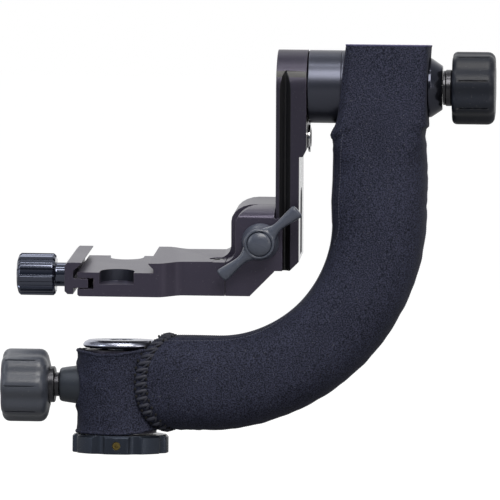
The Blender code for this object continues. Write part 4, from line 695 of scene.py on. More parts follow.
def pan_lock():
    """Boss, collar and grip on the left of the pan housing."""
    centre = (0.0, 0.0, PAN_LOCK_Z)
    boss = [
        (4.0, -37.0), (7.6, -37.0), (9.9, -36.6), (10.5, -33.6), (11.8, -24.0), (11.8, -22.4), (4.0, -22.4),
    ]
    turned_piece("lock_boss", ("grey_anodised", "anodised", "pan_lock_boss"), boss, 1.6, "X", centre)
    collar("pan_collar", "pan_lock_collar", -37.3, -1.0, 2.3, 6.6, centre)
    grip_z = PAN_LOCK_Z - PAN_GRIP_DROP
    lock_grip("pan_grip", "pan_lock_grip", "pan_rubber", PAN_GRIP_X, -1.0, grip_z, PAN_GRIP_TURN,
              PAN_GRIP_SKIRT, PAN_GRIP_LENGTH)


def tilt_joint():
    """The drum between head and swing arm, and the cone flange with its collar and grip."""
    centre = (0.0, 0.0, TILT_AXIS_Z)
    start, shoulder, end = 111.4, 133.4, 149.7
    drum = [
        (16.3, start), (21.3, start), (21.85, start + 0.5), (21.85, 131.0), (21.5, 131.25), (21.85, 131.5),
        (21.85, shoulder), (17.6, shoulder), (17.6, end), (13.4, end), (13.4, 122.7), (15.3, 122.7),
        (15.3, 115.1), (16.3, 115.1),
    ]
    looks = ("satin_black_and_pocket_shade", "polished_black", "tilt_bearing_housing")
    turned_piece("tilt_drum", looks, drum, 0.2, "X", centre, steps=3)
    hub, foot, face = 169.7, 182.9, 191.5
    cone = [
        (12.2, hub), (14.9, hub), (14.9, foot), (17.4, foot), (17.7, foot + 0.4), (17.7, foot + 1.8),
        (17.3, foot + 2.4), (13.3, face - 0.3), (12.8, face), (4.0, face), (4.0, 181.6), (12.2, 181.6),
    ]
    turned_piece("tilt_cone", ("polished", "polished_black", "tilt_flange"), cone, 0.2, "X", centre, steps=3)
    collar("tilt_collar", "tilt_lock_collar", 191.8, 1.0, 1.2, 4.0, centre, 10.3)
    lock_grip("tilt_grip", "tilt_lock_grip", "tilt_rubber", TILT_GRIP_X, 1.0, TILT_AXIS_Z, TILT_GRIP_TURN)


def shade_faces(piece, finish, chosen, centre_z=TILT_AXIS_Z, lean=REST_LEAN):
    """A second finish for the faces that chosen picks in the swinging frame.

    chosen takes the x, y and z of the faces' middles, in mm, and then those of their normals.
    """
    faces = piece.data.polygons
    piece.data.materials.append(finish_of(finish))
    index = np.zeros(len(faces), np.int32)
    faces.foreach_get("material_index", index)
    c, s = math.cos(lean), math.sin(lean)
    turned_back = []
    for key, height, size in (("center", centre_z, MM), ("normal", 0.0, 1.0)):
        values = np.zeros(3 * len(faces))
        faces.foreach_get(key, values)
        x, y, z = (values.reshape(-1, 3) - (0.0, 0.0, height)).T / size
        turned_back += [x, y * c + z * s, z * c - y * s]
    second = len(piece.data.materials) - 1
    faces.foreach_set("material_index", np.where(chosen(*turned_back), second, index).astype(np.int32))


def swinging_arm():
    """The flat arm that hangs from the drum, with its round plug."""
    arm = machined("hanging_arm", "swing_arm", "anodised", 0.45 * MM)
    # Painted shade: the groove's faces take the near-black finish.
    shade_faces(arm, "painted_recess_shade", lambda x, y, z, nx, ny, nz: (
        (np.abs(x - 98.3) < 3.35) & (np.abs(y) > 18.8) & (np.abs(y) < 21.8)
    ))
    shade_faces(arm, "polished", lambda x, y, z, nx, ny, nz: (nx > 0.99) & (x > 106.0) & (x < 108.0))
    face, rim = 111.25, 112.55
    plug = [
        (0.0, face - 6.0), (4.0, face - 6.0), (4.0, face), (8.3, face), (8.3, rim - 0.3), (8.0, rim),
        (6.6, rim), (6.2, rim - 0.5), (0.0, rim - 0.5),
    ]
    looks, centre = ("pale_ring", "dark_steel", "swing_arm_plug"), (0.0, 0.0, -31.2 * MM)
    turned_piece("arm_plug", looks, plug, 0.12, "X", centre, steps=3, hollow=False, lean=True)


def lens_platform():
    """The clamp bed with its waist, the near half of the gripping block and the moving jaw."""
    bed = machined("clamp_bed", "platform", "platform_anodised", 0.4 * MM)
    # Painted shade: the pocket's walls take the darker satin black finish.
    shade_faces(bed, "satin_black_and_pocket_shade", lambda x, y, z, nx, ny, nz: (
        (np.abs(x + 1.1) < 10.2) & (np.abs(np.abs(y) - 28.8) < 8.8) & (z > -116.4) & (np.abs(nz) < 0.7)
    ))
    machined("block_jaw", "height_jaw", "platform_anodised", 0.5 * MM)
    machined("clamp_lip", "clamp_jaw", "platform_anodised", 0.4 * MM)
    winged_knob()


def winged_knob():
    """The height knob: a bell-shaped hub with a domed middle in a groove, and two flowing wings.

    A wing is a run of superellipses of power 2.6. At distance s from the middle its half width
    and half thickness follow the table, and its centre bends by bend * sin(pi s / span) across
    its run. Hub and wings are joined on a fine voxel grid, and the joint is relaxed.
    """
    x0, z0 = metres([84.3, -90.5])
    power, bend = 2.6, 0.5 * MM
    # The table and the turned profiles are in mm.
    front, wing_depth, span = -40.4, 4.2, 30.6
    table = np.array([
        (0.0, 3.0, 2.6), (8.0, 5.4, 3.6), (10.5, 4.1, 3.5), (13.0, 2.9, 3.3), (16.0, 2.65, 3.2),
        (20.0, 3.05, 3.2), (24.0, 3.65, 3.2), (27.5, 4.1, 3.2), (29.4, 4.2, 3.1), (30.2, 3.9, 2.8),
        (30.55, 2.9, 2.1), (span, 0.0, 0.0),
    ])
    share = np.concatenate([np.linspace(0.0, 29.0, 44), [29.4, 29.8, 30.2, 30.4, 30.55, span]])
    wide = metres(np.interp(share, table[:, 0], table[:, 1]))[:, None]
    thick = metres(np.interp(share, table[:, 0], table[:, 2]))[:, None]
    centre = bend * np.sin(math.pi * share / span)[:, None]
    run = metres(share)[:, None]
    side, deep = superellipse(round_angles(40)[None, :], power)
    parts = []
    for turn in (41.0 * DEG, 221.0 * DEG):
        across = centre + wide * side
        x = x0 + run * math.cos(turn) - across * math.sin(turn)
        z = z0 + run * math.sin(turn) + across * math.cos(turn)
        y = (front + wing_depth) * MM + thick * deep + 0.0 * x
        parts.append(surface(leaned(np.stack([x, y, z], axis=-1))))
    hub = softened(metres([
        (0.0, -28.8), (11.2, -28.8), (11.4, -29.6), (10.4, -33.0), (9.5, -36.0), (9.3, front + 0.9),
        (8.4, front), (7.8, front), (7.6, front + 0.3), (7.5, front + 1.5), (0.0, front + 1.5),
    ]), 0.5 * MM, steps=4)
    parts.append(surface(leaned(closed_ends(lathe(hub, "Y", (x0, 0.0, z0))))))
    knob = shaped("winged_knob", parts)
    joined = knob.modifiers.new("joined", "REMESH")
    joined.mode = "VOXEL"
    joined.voxel_size = 0.42 * MM
    relaxed = knob.modifiers.new("relaxed", "SMOOTH")
    relaxed.factor = 0.5
    relaxed.iterations = 9
    applied(knob)
    knob.data.shade_smooth()
    dressed(knob, "wing_plastic", "plastic", "height_knob")

    radius, foot, rise = 7.05, front + 0.2, -2.2
    quarter = np.linspace(0.0, 90.0 * DEG, 9)[:, None]
    crown = np.hstack([radius * np.cos(quarter), foot + rise * np.sin(quarter) ** 1.4])
    profile = np.concatenate([[(0.0, front + 1.6), (radius, front + 1.6)], crown])
    cap = turned("wing_dome", metres(profile), "Y", (x0, 0.0, z0), hollow=False, lean=True)
    dressed(cap, "wing_plastic", "plastic", "height_knob_cap")


def clamp_handwheel():
    """The glossy fluted knob of the lens clamp.

    At angle a its outline is radius - depth * S(|sin(5 a)|), where S rises smoothly from 0.52 to 0.8.
    Turned bands close it at both ends.
    """
    flutes, depth, height = 10, 1.15 * MM, -115.7 * MM
    # The turned profile is in mm.
    left, right, neck_end, bore, bore_end = -64.2, -41.0, -32.6, 2.8, -44.9
    angle = round_angles(20 * flutes)[None, :]
    profile = softened(metres([
        (0.0, left), (9.2, left), (11.6, left + 0.8), (12.7, left + 2.1), (12.7, right - 1.4),
        (11.3, right), (7.4, right), (7.2, right + 0.6), (7.2, neck_end), (bore, neck_end),
        (bore, bore_end), (0.0, bore_end),
    ]), 0.35 * MM)
    radius, x = profile[:, :1], profile[:, 1:]
    fluted = smooth_rise(9.0 * MM, 11.6 * MM, radius) * (x < (right + 0.1) * MM)
    radius = radius - depth * fluted * smooth_rise(0.52, 0.8, np.abs(np.sin((angle - 0.1) * flutes / 2.0)))
    x = np.broadcast_to(x, radius.shape)
    points = leaned(np.stack([x, radius * np.cos(angle), height + radius * np.sin(angle)], axis=-1))
    piece = shaped("clamp_handwheel", [surface(points)])
    even_shading(piece)
    dressed(piece, "gloss_black", "polished_black", "clamp_knob")


# Neoprene sleeve

# The head's edges as the cloth shapes them, in front view: height against X, in mm.
HEAD_LEFT_EDGE = metres([
    (138.4, 126.2), (152.4, 125.7), (165.0, 126.4), (180.0, 126.7), (189.0, 127.2), (198.0, 128.6),
    (206.5, 129.8), (224.6, 131.4), (240.0, 133.2), (246.0, 133.9),
]).T
HEAD_RIGHT_EDGE = metres([
    (147.3, 182.1), (161.4, 182.7), (172.0, 182.4), (184.0, 181.6), (192.6, 181.2), (199.0, 182.0),
    (206.0, 182.6), (224.0, 183.1), (240.0, 183.6), (246.0, 183.9),
]).T
# Knot below the drum and hem step below the cone, on the side faces alone: height against bulge, in mm.
LEFT_KNOT = metres([
    (184.0, 0.0), (187.5, 0.7), (190.5, 1.3), (193.2, 2.1), (195.2, 1.9), (197.2, 0.9), (200.0, 0.2),
    (203.0, 0.0),
]).T
RIGHT_STEP = metres([
    (188.0, 0.0), (192.0, -0.5), (196.4, -0.4), (197.4, 0.1), (197.9, 1.1), (199.5, 0.9), (206.0, 0.2),
    (212.0, 0.0),
]).T
# How far in from the inner edge its seam's groove and ridge run: run along the edge, groove, ridge, in mm.
INNER_SEAM = metres([
    (0.0, 1.8, 3.4), (11.0, 1.6, 3.1), (49.5, 1.2, 2.3), (80.0, 0.5, 0.9), (88.9, 0.2, 0.3),
    (124.0, 0.8, 1.6), (132.0, 1.7, 4.6), (140.0, 1.9, 5.6), (194.0, 1.9, 5.7), (198.0, 1.8, 5.0),
]).T
# Soft ridges and dents of the near side: start and end in front view (X, Z), height and width, in mm.
SLEEVE_FOLDS = (
    ((136.5, 198.5), (126.0, 191.5), 0.9, 1.8),
    ((136.5, 193.8), (127.0, 188.0), -0.9, 1.6),
    ((134.0, 189.0), (127.0, 183.0), 0.4, 1.6),
    ((174.0, 200.5), (183.0, 197.2), 0.35, 1.8),
    ((174.0, 197.0), (183.0, 194.5), -0.35, 1.6),
    ((45.0, 65.4), (76.0, 69.6), 0.28, 1.0),
)


def section(wide, power):
    """Half depth of a unit superellipse at a share wide of its half width."""
    return np.maximum(0.0, 1.0 - np.abs(wide) ** power) ** (1.0 / power)


def sleeve_surface():
    """The cover's tube as a grid: rows from its seam at the pan drum to its top, columns round it.

    Each ring is a superellipse between a lower and an upper line. These lines follow the leg, the
    two arcs of the bend and the cloth's edges on the head. Along the leg the ring points run
    straight from the seam, where the tube meets a cylinder round the pan axis.
    Returns the points, the depth share of each (negative on the near side), and each point's
    distance from the inner edge, in front view, with the run of each row along that edge.
    """
    turn = np.linspace(-90.0, 0.0, BEND_STEPS)[:, None] * DEG
    rise = np.linspace(0.0, 1.0, HEAD_STEPS + 1)[1:, None]
    lines = []
    for (centre_x, centre_z), radius, edge in (
        (OUTER_BEND_CENTRE, OUTER_BEND_RADIUS + SLEEVE_SKIN, HEAD_RIGHT_EDGE),
        (INNER_BEND_CENTRE, INNER_BEND_RADIUS - SLEEVE_SKIN, HEAD_LEFT_EDGE),
    ):
        bend = np.hstack([centre_x + radius * np.cos(turn), centre_z + radius * np.sin(turn)])
        height = centre_z + (SLEEVE_TOP_Z - centre_z) * rise
        lines.append(np.concatenate([bend, np.hstack([np.interp(height, *edge), height])]))
    low, high = lines

    angle = round_angles(SECTION_STEPS)[None, :]
    middle, across = (low + high) / 2.0, low - high
    width = np.linalg.norm(across, axis=1)[:, None]
    across = across / width
    power = ARM_POWER + (HEAD_POWER - ARM_POWER) * smooth_rise(SQUARING_LOW_Z, SQUARING_TOP_Z, middle[:, 1:])
    wide, deep = superellipse(angle, power)
    x = middle[:, :1] + across[:, :1] * wide * width / 2.0
    z = middle[:, 1:] + across[:, 1:] * wide * width / 2.0
    knot = np.interp(z, *LEFT_KNOT) * np.maximum(-wide, 0.0) ** 10
    step = np.interp(z, *RIGHT_STEP) * np.maximum(wide, 0.0) ** 10
    upper = np.stack([x - knot + step, SLEEVE_HALF_DEPTH * deep, z], axis=-1)

    side = np.sign(np.sin(angle))

    def depth_at(place):
        ease = smooth_rise(ROOT_SLEEVE_X, FULL_SLEEVE_X, place)
        shape = section(wide[:1], ROOT_POWER + (ARM_POWER - ROOT_POWER) * ease)
        return side * shape * (ROOT_SLEEVE_DEPTH + (SLEEVE_HALF_DEPTH - ROOT_SLEEVE_DEPTH) * ease)

    # From any start, each step halves the way to where the tube meets the cylinder.
    seam = np.full_like(angle, 15.0 * MM)
    for _ in range(30):
        seam = 0.5 * (seam + np.sqrt(np.maximum(SEAM_RADIUS**2 - depth_at(seam) ** 2, 1e-9)))
    share = np.linspace(0.0, 1.0, LEG_STEPS, endpoint=False)[:, None]
    leg_x = seam + (x[:1] - seam) * share
    leg = np.stack([leg_x, depth_at(leg_x), np.broadcast_to(z[:1], leg_x.shape)], axis=-1)

    points = np.concatenate([leg, upper])
    near, wide, width = (
        np.concatenate([np.repeat(each[:1], LEG_STEPS, axis=0), each]) for each in (deep, wide, width)
    )
    from_inner = (1.0 + wide) * width / 2.0
    return points, near, from_inner, run_along(points[:, SECTION_STEPS // 2][:, [0, 2]])


def fold(points, start, end, height, width):
    """A soft ridge or dent along a line of the front view, between two points given in mm."""
    a, b = metres(start), metres(end)
    flat = points[..., [0, 2]]
    along = np.clip(((flat - a) @ (b - a)) / ((b - a) @ (b - a)), 0.0, 1.0)
    return bell(np.linalg.norm(flat - (a + along[..., None] * (b - a)), axis=-1), height, width)


def ripple(place, *waves):
    """Uneven cloth: a sum of sines, each given by its period and height in mm."""
    return sum(height * MM * np.sin(TURN * place / (period * MM) + period) for period, height in waves)


def grid_normals(points):
    """Outward unit normals of a grid whose columns close on themselves."""
    down = np.gradient(points, axis=0)
    right = np.roll(points, -1, axis=1) - np.roll(points, 1, axis=1)
    normal = np.cross(right, down)
    normal /= np.maximum(np.linalg.norm(normal, axis=-1, keepdims=True), 1e-12)
    outward = points - points.mean(axis=1, keepdims=True)
    return normal * np.sign((normal * outward).sum(axis=-1, keepdims=True).mean())


def on_grid(values, row, column):
    """Values of a grid read between its points, at fractional rows and columns."""
    rows, columns = values.shape[:2]
    row = np.clip(row, 0.0, rows - 1.001)
    r, c = np.floor(row).astype(int), np.floor(column).astype(int)
    u, v = (row - r)[:, None], (column - c)[:, None]
    c0, c1 = c % columns, (c + 1) % columns
    top = values[r, c0] * (1.0 - v) + values[r, c1] * v
    bottom = values[r + 1, c0] * (1.0 - v) + values[r + 1, c1] * v
    return top * (1.0 - u) + bottom * u


def seam_columns(from_inner, distance):
    """Fractional column, row by row, where the near side lies at a distance from the inner edge."""
    half = SECTION_STEPS // 2
    columns = np.arange(half, half + SECTION_STEPS // 4 + 1)
    return np.array([np.interp(d, row[columns], columns) for d, row in zip(distance, from_inner)])


def opened(points, faces, axis_z, radius, chosen):
    """Leave out the faces inside a round opening along X, and bring its rim onto the circle."""
    away = points[:, 1:] - (0.0, axis_z)
    gap = np.linalg.norm(away, axis=1)
    inside = (gap < radius) & chosen
    faces = faces[~inside[faces].all(axis=1)]
    rim = inside & (gap > 1e-6)
    points = points.copy()
    points[rim, 1:] = (0.0, axis_z) + away[rim] / gap[rim, None] * radius
    return points, faces


def cloth(name, points, faces):
    """A sewn sheet of the cover: its outer face, with a wall laid inwards."""
    used = np.unique(faces)
    fresh = np.zeros(len(points), int)
    fresh[used] = np.arange(len(used))
    piece = shaped(name, [(points[used], fresh[faces])], sharp=60.0 * DEG)
    wall = piece.modifiers.new("foam_wall", "SOLIDIFY")
    wall.thickness = SLEEVE_WALL
    wall.offset = -1.0
    wall.use_even_offset = True
    return dressed(piece, "neoprene", "neoprene", "arm_sleeve")


def dressed_sleeve_surface():
    """The tube's grid with its seam, folds and ragged outer edge, and what its stitches need."""
    points, near, from_inner, run = sleeve_surface()
    # Inner seam and folds of the near side
    groove, ridge = (np.interp(run, INNER_SEAM[0], line)[:, None] for line in INNER_SEAM[1:])
    lift = bell(from_inner - ridge, 0.55, 0.6) - bell(from_inner - groove, 0.95, 0.55)
    lift += sum(fold(points, *values) for values in SLEEVE_FOLDS)
    lift *= smooth_rise(0.05, 0.4, -near)
    # Ragged outer edge
    outer = np.exp(-((near / 0.3) ** 2)) * (from_inner > 0.5 * from_inner.max(axis=1, keepdims=True))
    lift += outer * ripple(run[:, None], (7.3, 0.1), (11.9, 0.09), (4.1, 0.05))
    # Puckers beside the zigzag seam, and slow waves
    beside = points[..., 0] - points[:1, :, 0]
    ring = points[0]
    along = np.cumsum(np.linalg.norm(np.diff(ring[:, 1:], axis=0, prepend=ring[-1:, 1:]), axis=1))
    puff = 0.62 + 0.38 * np.cos(TURN * along / PUFF_PITCH)
    lift += puff * bell(beside - 2.6 * MM, 0.75, 1.7) - bell(beside - 6.4 * MM, 0.3, 1.5)
    lift += 0.12 * MM * np.sin(points[..., 0] / (9.0 * MM)) * np.sin(points[..., 2] / (13.0 * MM) + near)
    return points + grid_normals(points) * lift[..., None], from_inner, run


def collar_surface():
    """The collar round the pan drum: a cylinder between two edges that rise and droop with X.

    It flares a little at both edges, and stands out at the back and round the boss.
    """
    angle = round_angles(168)[None, :]
    x = COLLAR_SLEEVE_RADIUS * np.cos(angle) / MM
    top = np.interp(x, (-25.0, -20.0, -11.3, 0.0, 12.6, 18.0), (61.0, 60.4, 58.8, 59.5, 61.6, 62.4)) * MM
    bottom = np.interp(x, (-25.0, -8.0, 4.0, 14.0, 20.0), (12.5, 12.2, 12.2, 13.4, 15.2)) * MM
    share = np.linspace(0.0, 1.0, 52)[:, None]
    z = bottom + (top - bottom) * share
    flare = 0.35 * MM * smooth_rise(0.88, 1.0, share) + 0.3 * MM * smooth_rise(0.12, 0.0, share)
    boss_gap = np.hypot(COLLAR_SLEEVE_RADIUS * np.sin(angle), z - PAN_LOCK_Z)
    flare = flare + bell(boss_gap - 13.2 * MM, 1.1, 2.2) * smooth_rise(0.3, 0.8, -np.cos(angle))
    flare += 1.1 * MM * smooth_rise(0.3, 1.0, -np.cos(angle))
    uneven = ripple(z + 4.0 * MM * np.cos(3.0 * angle), (17.0, 0.1), (9.0, 0.06))
    radius = COLLAR_SLEEVE_RADIUS + flare + uneven
    return np.stack([radius * np.cos(angle), radius * np.sin(angle), z], axis=-1)


def bars(starts, ends, lift, normal, radius, sides=6):
    """Short raised threads: each a bowed bar from start to end, closed by a point at both ends.

    At share t the middle line is start + (end - start) t + lift * 4 t (1 - t) along the normal.
    """
    share = np.array([0.0, 0.0, 0.14, 0.5, 0.86, 1.0, 1.0])[None, :, None]
    full = np.array([0.0, 0.45, 0.9, 1.0, 0.9, 0.45, 0.0])[None, :, None, None] * radius
    bow = lift * 4.0 * share * (1.0 - share) * normal[:, None]
    line = starts[:, None] + (ends - starts)[:, None] * share + bow
    along = unit(ends - starts)
    side = unit(np.cross(along, normal))
    up = np.cross(side, along)
    turn = round_angles(sides)[None, None, :, None]
    ring = np.cos(turn) * side[:, None, None] + np.sin(turn) * up[:, None, None]
    points = line[:, :, None] + full * ring
    count, rows = points.shape[:2]
    faces = grid_faces(rows, sides)[None] + (np.arange(count) * rows * sides)[:, None, None]
    return points.reshape(-1, 3), faces.reshape(-1, 4)


def neoprene_sleeve():
    """The padded cover as two sewn sheets: the tube over the arm, and the collar round the drum."""
    grid, from_inner, run = dressed_sleeve_surface()
    top = grid[-1:]
    middle = top.mean(axis=1, keepdims=True)
    inwards = np.array([0.988, 0.95, 0.86, 0.6, 0.3, 0.0])[:, None, None]
    closing = middle + (top - middle) * inwards
    closing[..., 2] += metres([0.35, 0.3, 0.0, -0.2, -0.3, -0.3])[:, None]
    points, faces = surface(np.concatenate([grid, closing]))
    for radius, side in ((DRUM_OPENING, -1.0), (CONE_OPENING, 1.0)):
        chosen = (side * (points[:, 0] - HEAD_MIDDLE_X) > 0.0) & (points[:, 2] > HEAD_FOOT_Z)
        points, faces = opened(points, faces, TILT_AXIS_Z, radius, chosen)
    tube = cloth("sleeve_tube", points, faces)

    points, faces = surface(collar_surface())
    points, faces = opened(points, faces, PAN_LOCK_Z, BOSS_OPENING, points[:, 0] < 0.0)
    return tube, cloth("sleeve_collar", points, faces), grid, from_inner, run


def hem(name, ring, middle, inset, radius, finish, wave):
    """A rolled edge: a round section carried once round a closed line, a little inside it.

    At angle t the section is radius * (cos t out + sin t up), with radius * (1 + wave) along the line.
    """
    out = unit((ring - middle) * (1.0, 1.0, 0.0))
    up = np.array([0.0, 0.0, 1.0])
    turn = round_angles(10)[None, :, None]
    radius = (radius * (1.0 + wave))[:, None, None]
    points = (ring - inset * out)[:, None] + radius * (np.cos(turn) * out[:, None] + np.sin(turn) * up)
    trim(name, [surface(points, wrap_rows=True)], finish, sharp=80.0 * DEG)


def sleeve_hems(grid):
    """The thin bound edge at the head's top and the rolled edges of the collar."""
    wave = 0.06 * np.sin(np.arange(SECTION_STEPS) * 1.9)
    hem("head_hem", grid[-1], grid[-1].mean(axis=0), 0.2 * MM, 0.5 * MM, "hem_tape", wave)
    rings = collar_surface()
    wave = 0.16 * np.sin(np.arange(rings.shape[1]) * 0.9)
    for name, ring in (("collar_top_hem", rings[-1]), ("collar_bottom_hem", rings[0])):
        hem(name, ring, 0.0, 0.5 * MM, 1.05 * MM, "neoprene", wave)


def zigzag_seam(grid):
    """The hand-sewn seam between tube and collar: slanting threads, and near-black dots of painted shade at
    the needle holes.

    Stitch k stands k pitches along the seam line, seen end on. Its left hole lies on the seam and
    its right hole further along the tube and a little higher.
    """
    pitch, step, climb = 4.2 * MM, 7.2 * MM, 1.7 * MM
    ring, ahead = grid[0], grid[LEG_STEPS]
    closed = np.concatenate([ring, ring[:1]])
    length = run_along(closed[:, 1:])
    count = int(length[-1] / pitch)
    stops = np.arange(count) * length[-1] / count
    columns = np.arange(len(closed))
    normal = grid_normals(grid)

    def holes(shift, along):
        column = np.interp((stops + shift) % length[-1], length, columns)
        reach = np.interp(column, columns, np.append(ahead[:, 0] - ring[:, 0], ahead[0, 0] - ring[0, 0]))
        row = along / reach * LEG_STEPS
        return on_grid(grid, row, column), on_grid(normal, row, column)

    upwards = np.sign(np.interp(stops, length, np.append(np.gradient(ring[:, 2]), 0.0)))
    left, left_out = holes(0.0, 0.35 * MM)
    right, right_out = holes(climb * upwards, step)
    between, between_out = holes(-0.5 * pitch * upwards, 0.55 * step)
    trim("zigzag_threads", [
        bars(left, right, 0.75 * MM, left_out, 1.15 * MM, sides=8),
        bars(between, right, 0.55 * MM, between_out, 0.6 * MM, sides=8),
    ], "seam_cord")
    # Painted shade: each needle hole is a near-black flat dot on the cloth.
    hole_shade_dots = []
    for spot, out in ((left, left_out), (right, right_out)):
        side = unit(np.cross(out, (1.0, 0.0, 0.0)))
        place = spot + 0.35 * MM * out + 2.1 * MM * side
        reach = 0.85 * MM * side
        hole_shade_dots.append(bars(place - reach, place + reach, 0.1 * MM, out, 0.72 * MM))
    trim("needle_hole_shade_dots", hole_shade_dots, "puncture")


def sleeve_seams(grid, from_inner, run):
    """The overlocked edges and the stitched inner seam."""
    normal = grid_normals(grid)
    rows = np.arange(len(grid), dtype=float)
    loops = []
    for column, pitch, first, last in ((0, 1.15, 6.0, 322.0), (SECTION_STEPS // 2, 1.2, 3.0, 228.0)):
        length = run_along(grid[:, column])
        stops = np.arange(first * MM, min(last * MM, length[-1] - MM), pitch * MM)
        row = np.interp(stops, length, rows)
        spot, ahead = (on_grid(grid, each, column + 0.0 * row) for each in (row, row + 0.6))
        out = on_grid(normal, row, column + 0.0 * row)
        reach = metres([0.0, 1.5, 0.0]) + 0.45 * MM * unit(ahead - spot)
        loops.append(bars(spot - reach, spot + reach, 0.25 * MM, out, 0.42 * MM))
    trim("overlock_stitches", loops, "thread")

    column = seam_columns(from_inner, np.interp(run, INNER_SEAM[0], INNER_SEAM[2]))
    stops = metres(np.concatenate([np.arange(8.0, 74.0, 1.7), np.arange(128.0, 194.0, 1.7)]))
    first, second = (np.interp(stops + reach, run, rows) for reach in (0.0, 1.15 * MM))
    start, end = (on_grid(grid, row, np.interp(row, rows, column)) for row in (first, second))
    out = on_grid(normal, first, np.interp(first, rows, column))
    trim("inner_seam_stitches", [bars(start, end, 0.22 * MM, out, 0.3 * MM)], "thread")


def padded_cover():
    """The cover with its seams, and how its cloth is laid."""
    tube, collar_piece, grid, from_inner, run = neoprene_sleeve()
    sleeve_seams(grid, from_inner, run)
    sleeve_hems(grid)
    zigzag_seam(grid)


# Stage


def place_camera(stage):
    """A long lens looking slightly down at the head, with the photo's small roll."""
    azimuth, pitch, roll = stage.azimuth, stage.pitch, stage.roll
    forward = np.array([
        -math.sin(azimuth) * math.cos(pitch), math.cos(azimuth) * math.cos(pitch), -math.sin(pitch)
    ])
    level = np.array([math.cos(azimuth), math.sin(azimuth), 0.0])
    up = np.cross(level, forward)
    right = level * math.cos(roll) + up * math.sin(roll)
    up = up * math.cos(roll) - level * math.sin(roll)
    spot = np.array(CAMERA_TARGET) - stage.distance * forward
    data = bpy.data.cameras.new("camera")
    data.lens = stage.lens
    data.sensor_width = 36.0
    data.clip_start, data.clip_end = 0.1, 60.0
    camera = new_object("camera", data)
    camera.matrix_world = Matrix([*zip(right, up, -forward, spot), (0.0, 0.0, 0.0, 1.0)])
    bpy.context.scene.camera = camera


def softbox(name, spot, width, height, power, colour=(1.0, 1.0, 1.0)):
    """A rectangular studio lamp that faces the middle of the object."""
    data = bpy.data.lights.new(name, "AREA")
    data.shape = "RECTANGLE"
    data.size, data.size_y = width, height
    data.energy = power
    data.color = colour
    lamp = new_object(name, data)
    lamp.location = spot
    lamp.rotation_euler = (Vector(CAMERA_TARGET) - lamp.location).to_track_quat("-Z", "Y").to_euler()


def rays(tree):
    """The light path, and whether the camera sees a place directly or through glass."""
    path = add_node(tree, "ShaderNodeLightPath").outputs
    return path, math_of(tree, "MAXIMUM", path["Is Camera Ray"], path["Is Transmission Ray"])


def studio_world(stage):
    """White behind the object for the camera, a soft gradient for reflections and plain fill light."""
    world = bpy.data.worlds.new("studio")
    world.use_nodes = True
    bpy.context.scene.world = world
    tree = world.node_tree
    tree.nodes.clear()
    out = add_node(tree, "ShaderNodeOutputWorld")
    path, seen = rays(tree)
    direction = add_node(tree, "ShaderNodeTexCoord").outputs["Generated"]
    axes = add_node(tree, "ShaderNodeSeparateXYZ", {"Vector": direction}).outputs
    behind = spread(tree, axes["Y"], -0.15, 0.7)
    above = times(tree, spread(tree, axes["Z"], 0.1, 0.95), 0.55)
    below = spread(tree, axes["Z"], -0.1, -0.6, 1.0, 0.35)
    aside = spread(tree, math_of(tree, "ABSOLUTE", axes["X"]), 0.86, 0.97, 0.0, 0.85)
    gleam = math_of(tree, "MAXIMUM", math_of(tree, "MAXIMUM", behind, above), aside)
    mirror = blended(tree, times(tree, gleam, below), (0.075, 0.09, 0.12), (0.95, 0.95, 0.95))
    fill = stage.fill
    colour = blended(tree, path["Is Glossy Ray"], (0.92 * fill, fill, 1.12 * fill), mirror)
    colour = blended(tree, seen, colour, (1.0, 1.0, 1.0))
    back = add_node(tree, "ShaderNodeBackground", {"Color": colour, "Strength": 1.0})
    tree.links.new(back.outputs[0], out.inputs["Surface"])


def studio_floor(stage):
    """A wide pale floor, almost white to the camera, that keeps a little of the object's shadow."""
    half = stage.floor_size / 2.0
    mesh = bpy.data.meshes.new("floor")
    corners = [(-half, -half, 0), (half, -half, 0), (half, half, 0), (-half, half, 0)]
    mesh.from_pydata(corners, [], [(0, 1, 2, 3)])
    floor = new_object("studio_floor", mesh)
    made = bpy.data.materials.new("studio_floor")
    made.use_nodes = True
    tree = made.node_tree
    tree.nodes.clear()
    out = add_node(tree, "ShaderNodeOutputMaterial")
    path, seen = rays(tree)
    axes = add_node(tree, "ShaderNodeSeparateXYZ", {"Vector": object_place(tree)}).outputs
    behind = spread(tree, axes["Y"], 0.5, 3.0, 0.12, 1.0)
    seen = math_of(tree, "MAXIMUM", seen, times(tree, path["Is Glossy Ray"], behind))
    shade = blended(tree, seen, stage.floor, tinted(stage.floor, 0.5))
    plain = add_node(tree, "ShaderNodeBsdfDiffuse", {"Color": shade})
    level = times(tree, seen, stage.floor_glow)
    glow = add_node(tree, "ShaderNodeEmission", {"Color": (1.0, 1.0, 1.0, 1.0), "Strength": level})
    mixed = add_node(tree, "ShaderNodeAddShader", {0: plain.outputs[0], 1: glow.outputs[0]})
    tree.links.new(mixed.outputs[0], out.inputs["Surface"])
    mesh.materials.append(made)


def studio():
    """Camera, lamps, world and floor."""
    stage = bpy.context.scene.gimbal_stage
    bpy.context.scene.view_settings.view_transform = "Standard"
    place_camera(stage)
    studio_world(stage)
    studio_floor(stage)
    softbox("key_softbox", (0.5, -1.55, 1.6), 1.5, 1.0, 39.0 * stage.light, (1.0, 0.97, 0.92))
    softbox("top_strip", (0.1, -0.72, 2.3), 1.7, 0.2, 9.0 * stage.light, (1.0, 0.98, 0.94))
    softbox("back_softbox", (-0.8, 1.1, 2.2), 1.2, 1.2, 11.0 * stage.light)
    softbox("left_strip", (-1.9, -1.1, 0.9), 0.5, 1.4, 11.0 * stage.light, (0.9, 0.94, 1.0))
    softbox("right_strip", (2.0, -1.2, 0.6), 0.5, 1.4, 8.0 * stage.light, (1.0, 0.95, 0.88))


